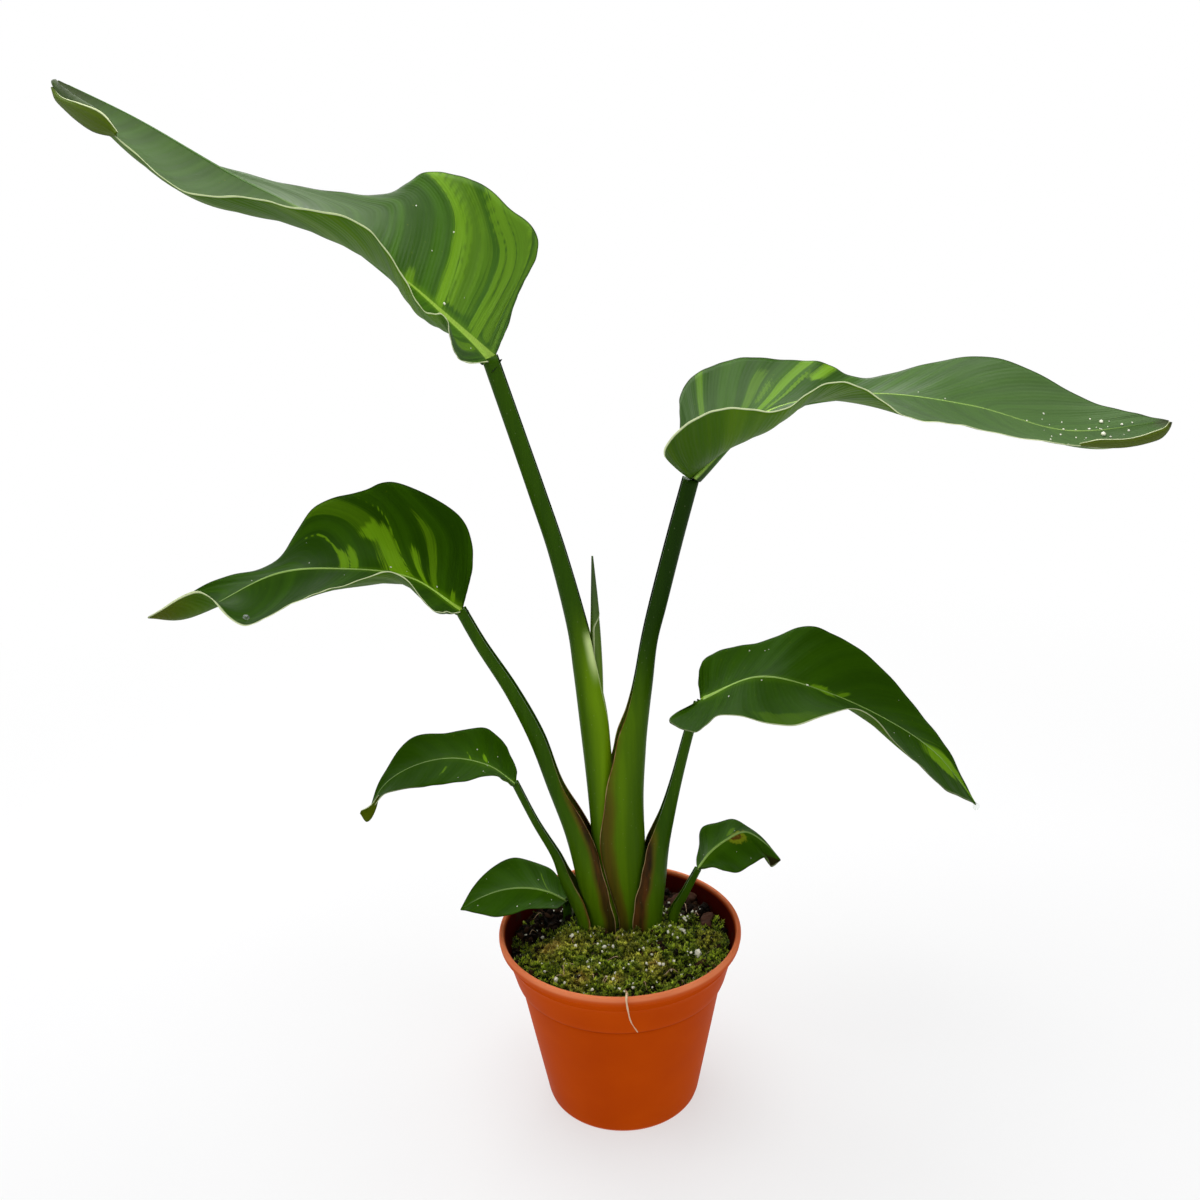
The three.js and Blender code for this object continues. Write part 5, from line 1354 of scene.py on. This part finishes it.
def make_moss_shoots():
    """Moss shoots all over the moss bed, and in thinner tufts on the soil round it out to the rim."""
    inner = pot_inside(SOIL["level"]) - 1.2
    for part in range(SHOOT_PARTS):
        shape = Shape()
        for kind in range(SHOOT_KINDS):
            x, y = disc_places(SHOOTS_OF_A_KIND, inner)
            z, share = surface_height(x, y)
            patchy = lumps(x, y, 0.35, 5) * 0.35
            density = np.where(share < 0.95, 1.15, 0.85) - fields(OPEN, x, y) + patchy
            keep = ~in_clump(x, y) & (rng.uniform(0, 1, x.size) < density)
            x, y, z = x[keep], y[keep], z[keep]
            base, faces = moss_shoot(8, part * SHOOT_KINDS + kind)
            sizes = rng.uniform(1.3, 3.1, x.size)
            z = z + rng.uniform(-0.9, 0.7, x.size) + 0.35 * lumps(x, y, 0.7, 8)
            height = np.tile(base[:, 2] / base[:, 2].max(), (x.size, 1)) * 1.1
            scatter(shape, base, faces, np.stack([x, y, z], -1), sizes, turned(x.size, 0.75),
                    shade=rng.uniform(0, 1, (x.size, 1)) ** 1.5, rise=height,
                    gold=fields(GOLD, x, y)[:, None])
        shape.build(f"moss_shoots_{part + 1}", [MOSS_SHOOTS])


def make_bark_chip(number, chip):
    """A flat broken chip of bark with an uneven, layered outline."""
    sides, rings = 40, 24
    v = np.linspace(-np.pi / 2, np.pi / 2, rings + 1)[1:-1, None]
    h = ring_angles(sides)[None]

    def square(a):
        return np.sign(a) * np.abs(a) ** 0.55

    x, y, z = square(np.cos(v) * np.cos(h)), square(np.cos(v) * np.sin(h)), square(np.sin(v)) + 0 * h
    y = y + 0.25 * np.sin(2.5 * x + number)
    bumps = 1 + 0.10 * np.sin(5 * h + number) * np.cos(v) + 0.05 * np.sin(11 * h + 2 * number)
    points = np.stack([x * bumps, y * bumps, z + 0.12 * np.sin(7 * x + 3 * y)], -1).reshape(-1, 3)
    points = np.vstack([points, [[0, 0, -1]], [[0, 0, 1]]]) * np.array(chip["size"]) / 2 * (0.96, 0.84, 0.9)
    turn = Matrix.Rotation(math.radians(chip["turn"]), 3, "Z") \
        @ Matrix.Rotation(math.radians(chip["tilt"]), 3, "X")
    shape = Shape()
    shape.add(points @ np.array(turn).T + chip["at"], ball_faces(rings - 1, sides))
    shape.build(f"bark_piece_{number}", [BARK], [f"bark_chip_{number}"])


def make_rootlet():
    """The fine root that hangs over the rim."""
    shape = Shape()
    tube(shape, ROOTLET, lambda t: 0.55 - 0.32 * smoothstep(0.35, 1, t) + 0.05 * np.sin(40 * t), 90, 12)
    shape.build("fine_root", [ROOT], ["rootlet"])


FIBRES = 46
FIBRE_RADIUS = 0.16


def make_fibres():
    """Fine pale fibres and stalks of dead moss on the soil."""
    shape = Shape()
    for _ in range(FIBRES):
        x, y = disc_places(1, 48)
        z, _ = surface_height(x, y)
        if in_clump(x, y, 2)[0]:
            continue
        a, length = rng.uniform(0, 2 * np.pi), rng.uniform(3, 9)
        end = (x[0] + length * math.cos(a), y[0] + length * math.sin(a))
        if math.hypot(*end) > 52:
            continue
        middle = ((x[0] + end[0]) / 2 + rng.uniform(-1, 1), (y[0] + end[1]) / 2 + rng.uniform(-1, 1))
        base = z[0] + 1.2
        tube(shape, [(x[0], y[0], base - 1.5), (*middle, base + rng.uniform(0.5, 2)), (*end, base - 1)],
             lambda t: FIBRE_RADIUS, 8, 5)
    shape.build("soil_fibres", [ROOT])


# Water drops and dust

# For each blade, splashes on it: place along it, place across it (-1 back, 1 front) and radius
SPLASHES = {
    "top_left": [(0.40, -0.62, 0.5), (0.43, -0.40, 0.35), (0.5, -0.7, 0.45), (0.36, -0.08, 0.8)],
    "mid_left": [(0.5, -0.12, 0.6), (0.72, -0.3, 0.45), (0.69, -0.4, 0.4), (0.3, -0.1, 0.55)],
    "mid_right": [(0.356, -0.89, 0.4), (0.40, -0.81, 0.35), (0.457, 0.07, 0.5), (0.341, 0.29, 0.6),
                  (0.595, 0, 0.8)],
    "top_right": [(0.889, -0.01, 0.7), (0.911, -0.19, 0.8), (0.906, -0.61, 1.2), (0.926, 0.16, 1.4),
                  (0.938, -0.5, 0.8), (0.953, 0.19, 0.7), (0.928, 0.3, 0.6), (0.70, -0.35, 0.4),
                  (0.74, -0.1, 0.4), (0.10, 0.8, 0.6), (0.17, 0.55, 0.5)],
    "base_left": [(0.343, 0.25, 0.4), (0.585, 0.66, 0.45), (0.484, -0.51, 0.4)],
    "low_left": [(0.514, -0.46, 0.45), (0.35, -0.6, 0.35)],
}
# A drop of clear water that lies on a blade, and one that hangs from the middle right blade's tip
LYING_DROP = ("mid_left", 0.768, 0.83, 1.4)
HANGING_DROP = dict(at=(170.6, -8.2, 155.6), radius=1.7)
# Dust near the top right blade's tip, and specks on every blade: how many, between which places along
# and across a blade, and between which radii
DUST = (26, (0.84, 0.96), (-0.7, 0.8), (0.2, 0.6))
SPECKS = (6, (0.15, 0.9), (-0.85, 0.85), (0.15, 0.32))


def ball(rings=10, sides=18):
    """A round drop, as points and blocks of faces."""
    v = np.linspace(-np.pi / 2, np.pi / 2, rings + 1)[1:-1, None]
    h = ring_angles(sides)[None]
    points = np.stack([np.cos(v) * np.cos(h), np.cos(v) * np.sin(h), np.sin(v) + 0 * h], -1).reshape(-1, 3)
    return np.vstack([points, [[0, 0, -1]], [[0, 0, 1]]]), ball_faces(rings - 1, sides)


def on_blade(name, u, side, radius):
    """Where a drop of this radius lies on a blade, and the turn that stands it up there."""
    around = np.array([(u, side), (min(u + 0.01, 1), side), (u, side + 0.02)])
    (p, q, r), _, heading = blade_surface(name, around[:, 0], around[:, 1])
    up = unit(np.cross(r - p, q - p)) * heading
    return p + up * (SHEET / 2 + 0.25 * radius), np.array(Vector(up).to_track_quat("Z", "Y").to_matrix())


def make_drops():
    """Dried splashes and dust on the leaves, and two drops of clear water."""
    local = np.random.default_rng(31)
    drops = [(name, *splash) for name, splashes in SPLASHES.items() for splash in splashes]
    for name, (count, *ranges) in [("top_right", DUST)] + [(name, SPECKS) for name in BLADES]:
        drops += [(name, *(local.uniform(*ends) for ends in ranges)) for _ in range(count)]
    specks = Shape()
    base, faces = pebble(3, 0.12)
    for name, u, side, radius in drops:
        place, turn = on_blade(name, u, side, radius)
        scatter(specks, base * (1, 1, 0.55), faces, place[None], np.array([radius]), turn[None])
    specks.build("leaf_specks", [speck_material()])

    water = Shape()
    base, faces = ball()
    place, turn = on_blade(*LYING_DROP)
    water.add((base * (1, 1, 0.6) * LYING_DROP[-1]) @ turn.T + place, faces)
    water.add(base * HANGING_DROP["radius"] * (0.9, 0.9, 1.1) + HANGING_DROP["at"], faces)
    water.build("water_drops", [water_material()])


# Building

STALK = stalk_material()
SPEAR_LEAF = spear_material()
BARK = bark_material()
ROOT = root_material()
MOSS_SHOOTS = moss_shoot_material()

make_pot()
make_soil()
make_moss_bed()
make_moss_shoots()
make_crumbs()
make_perlite()
make_fibres()
make_rootlet()
for number, chip in enumerate(BARK_CHIPS, 1):
    make_bark_chip(number, chip)
for seed, name in enumerate(BLADES, 1):
    make_blade(name, seed)
for name in STALKS:
    make_stalk(name)
make_spear()
make_drops()
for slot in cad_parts["roots"].material_slots:
    slot.material = ROOT

# Studio: a plain pale floor, a pale surround and soft lights


FLOOR_RADIUS = 9  # in metres


def make_floor():
    """A plain pale floor that is lit evenly and fades into the surround."""
    n = Nodes("floor")
    paint = n.noise(n.place(), 3.0, 2.0)
    color = n.mix(paint, (0.80, 0.80, 0.81), (0.84, 0.84, 0.85))
    main = n.node("ShaderNodeBsdfDiffuse", None, Color=color)
    far = n.node("ShaderNodeEmission", None, Color=(1, 1, 1, 1), Strength=1.0)
    distance = n.node("ShaderNodeVectorMath", {"operation": "LENGTH"}, i0=n.place()).outputs["Value"]
    blend = n.node("ShaderNodeMixShader", None, i0=n.ramp(n.step(distance, 0.1, 1.0), 0.0, 1.0, 0.6, 1.0),
                   i1=main.outputs[0], i2=far.outputs[0])
    n.tree.links.new(blend.outputs[0], n.output.inputs["Surface"])
    bpy.ops.mesh.primitive_circle_add(vertices=64, radius=FLOOR_RADIUS, fill_type="NGON", location=(0, 0, 0))
    floor = bpy.context.object
    floor.name = "floor"
    floor.data.materials.append(n.material)


# Soft lights: place, the point that each looks at, and width and depth, in metres, and power in watts
LIGHTS = {
    "behind": dict(place=(-0.3, 1.2, 1.0), target=(0, 0, 0.3), size=(1.6, 0.8), power=8),
    "overhead": dict(place=(-0.08, 0.05, 1.2), target=(0, 0, 0.2), size=(1.1, 0.9), power=13),
}


def add_light(name, place, target, size, power):
    data = bpy.data.lights.new(name, "AREA")
    data.shape, data.size, data.size_y = "RECTANGLE", *size
    data.energy = power
    lamp = bpy.data.objects.new(name, data)
    bpy.context.scene.collection.objects.link(lamp)
    lamp.location = place
    lamp.rotation_euler = (Vector(target) - Vector(place)).to_track_quat("-Z", "Y").to_euler()


# The surround's strength near the horizon and overhead, and between which heights it changes
SURROUND = dict(low=0.22, high=0.5, near=1.0, overhead=0.30)


def make_world():
    """A white surround up to a little above the horizon, and a dimmer one overhead."""
    world = bpy.data.worlds.new("studio")
    world.use_nodes = True
    tree = world.node_tree
    background = tree.nodes["Background"]
    direction = tree.nodes.new("ShaderNodeTexCoord")
    split = tree.nodes.new("ShaderNodeSeparateXYZ")
    shade = tree.nodes.new("ShaderNodeMapRange")
    shade.interpolation_type = "SMOOTHSTEP"
    for socket, number in zip(shade.inputs[1:5], SURROUND.values()):
        socket.default_value = number
    tree.links.new(direction.outputs["Generated"], split.inputs[0])
    tree.links.new(split.outputs["Z"], shade.inputs["Value"])
    tree.links.new(shade.outputs[0], background.inputs["Strength"])
    background.inputs["Color"].default_value = (1, 1, 1, 1)
    bpy.context.scene.world = world


CAMERA_PLACE = (-5, -513, 420)
CAMERA_PITCH = 17.2
CAMERA_ROLL = -1.7
FOCAL_PIXELS = 1180
IMAGE_PIXELS = 1200
SENSOR = 36


def make_camera():
    pitch, roll = math.radians(CAMERA_PITCH), math.radians(CAMERA_ROLL)
    forward = Vector((0, math.cos(pitch), -math.sin(pitch)))
    right = Vector((1, 0, 0))
    up = right.cross(forward)
    x = right * math.cos(roll) + up * math.sin(roll)
    y = up * math.cos(roll) - right * math.sin(roll)
    data = bpy.data.cameras.new("camera")
    data.sensor_width = SENSOR
    data.lens = SENSOR * FOCAL_PIXELS / IMAGE_PIXELS
    data.clip_start, data.clip_end = 0.01, 50
    camera = bpy.data.objects.new("camera", data)
    turn = Matrix((x, y, -forward)).transposed()
    camera.matrix_world = Matrix.Translation(Vector(CAMERA_PLACE) * MM) @ turn.to_4x4()
    bpy.context.scene.collection.objects.link(camera)
    bpy.context.scene.camera = camera


make_floor()
make_world()
make_camera()
for name, light in LIGHTS.items():
    add_light(name, **light)
bpy.context.scene.view_settings.view_transform = "Standard"
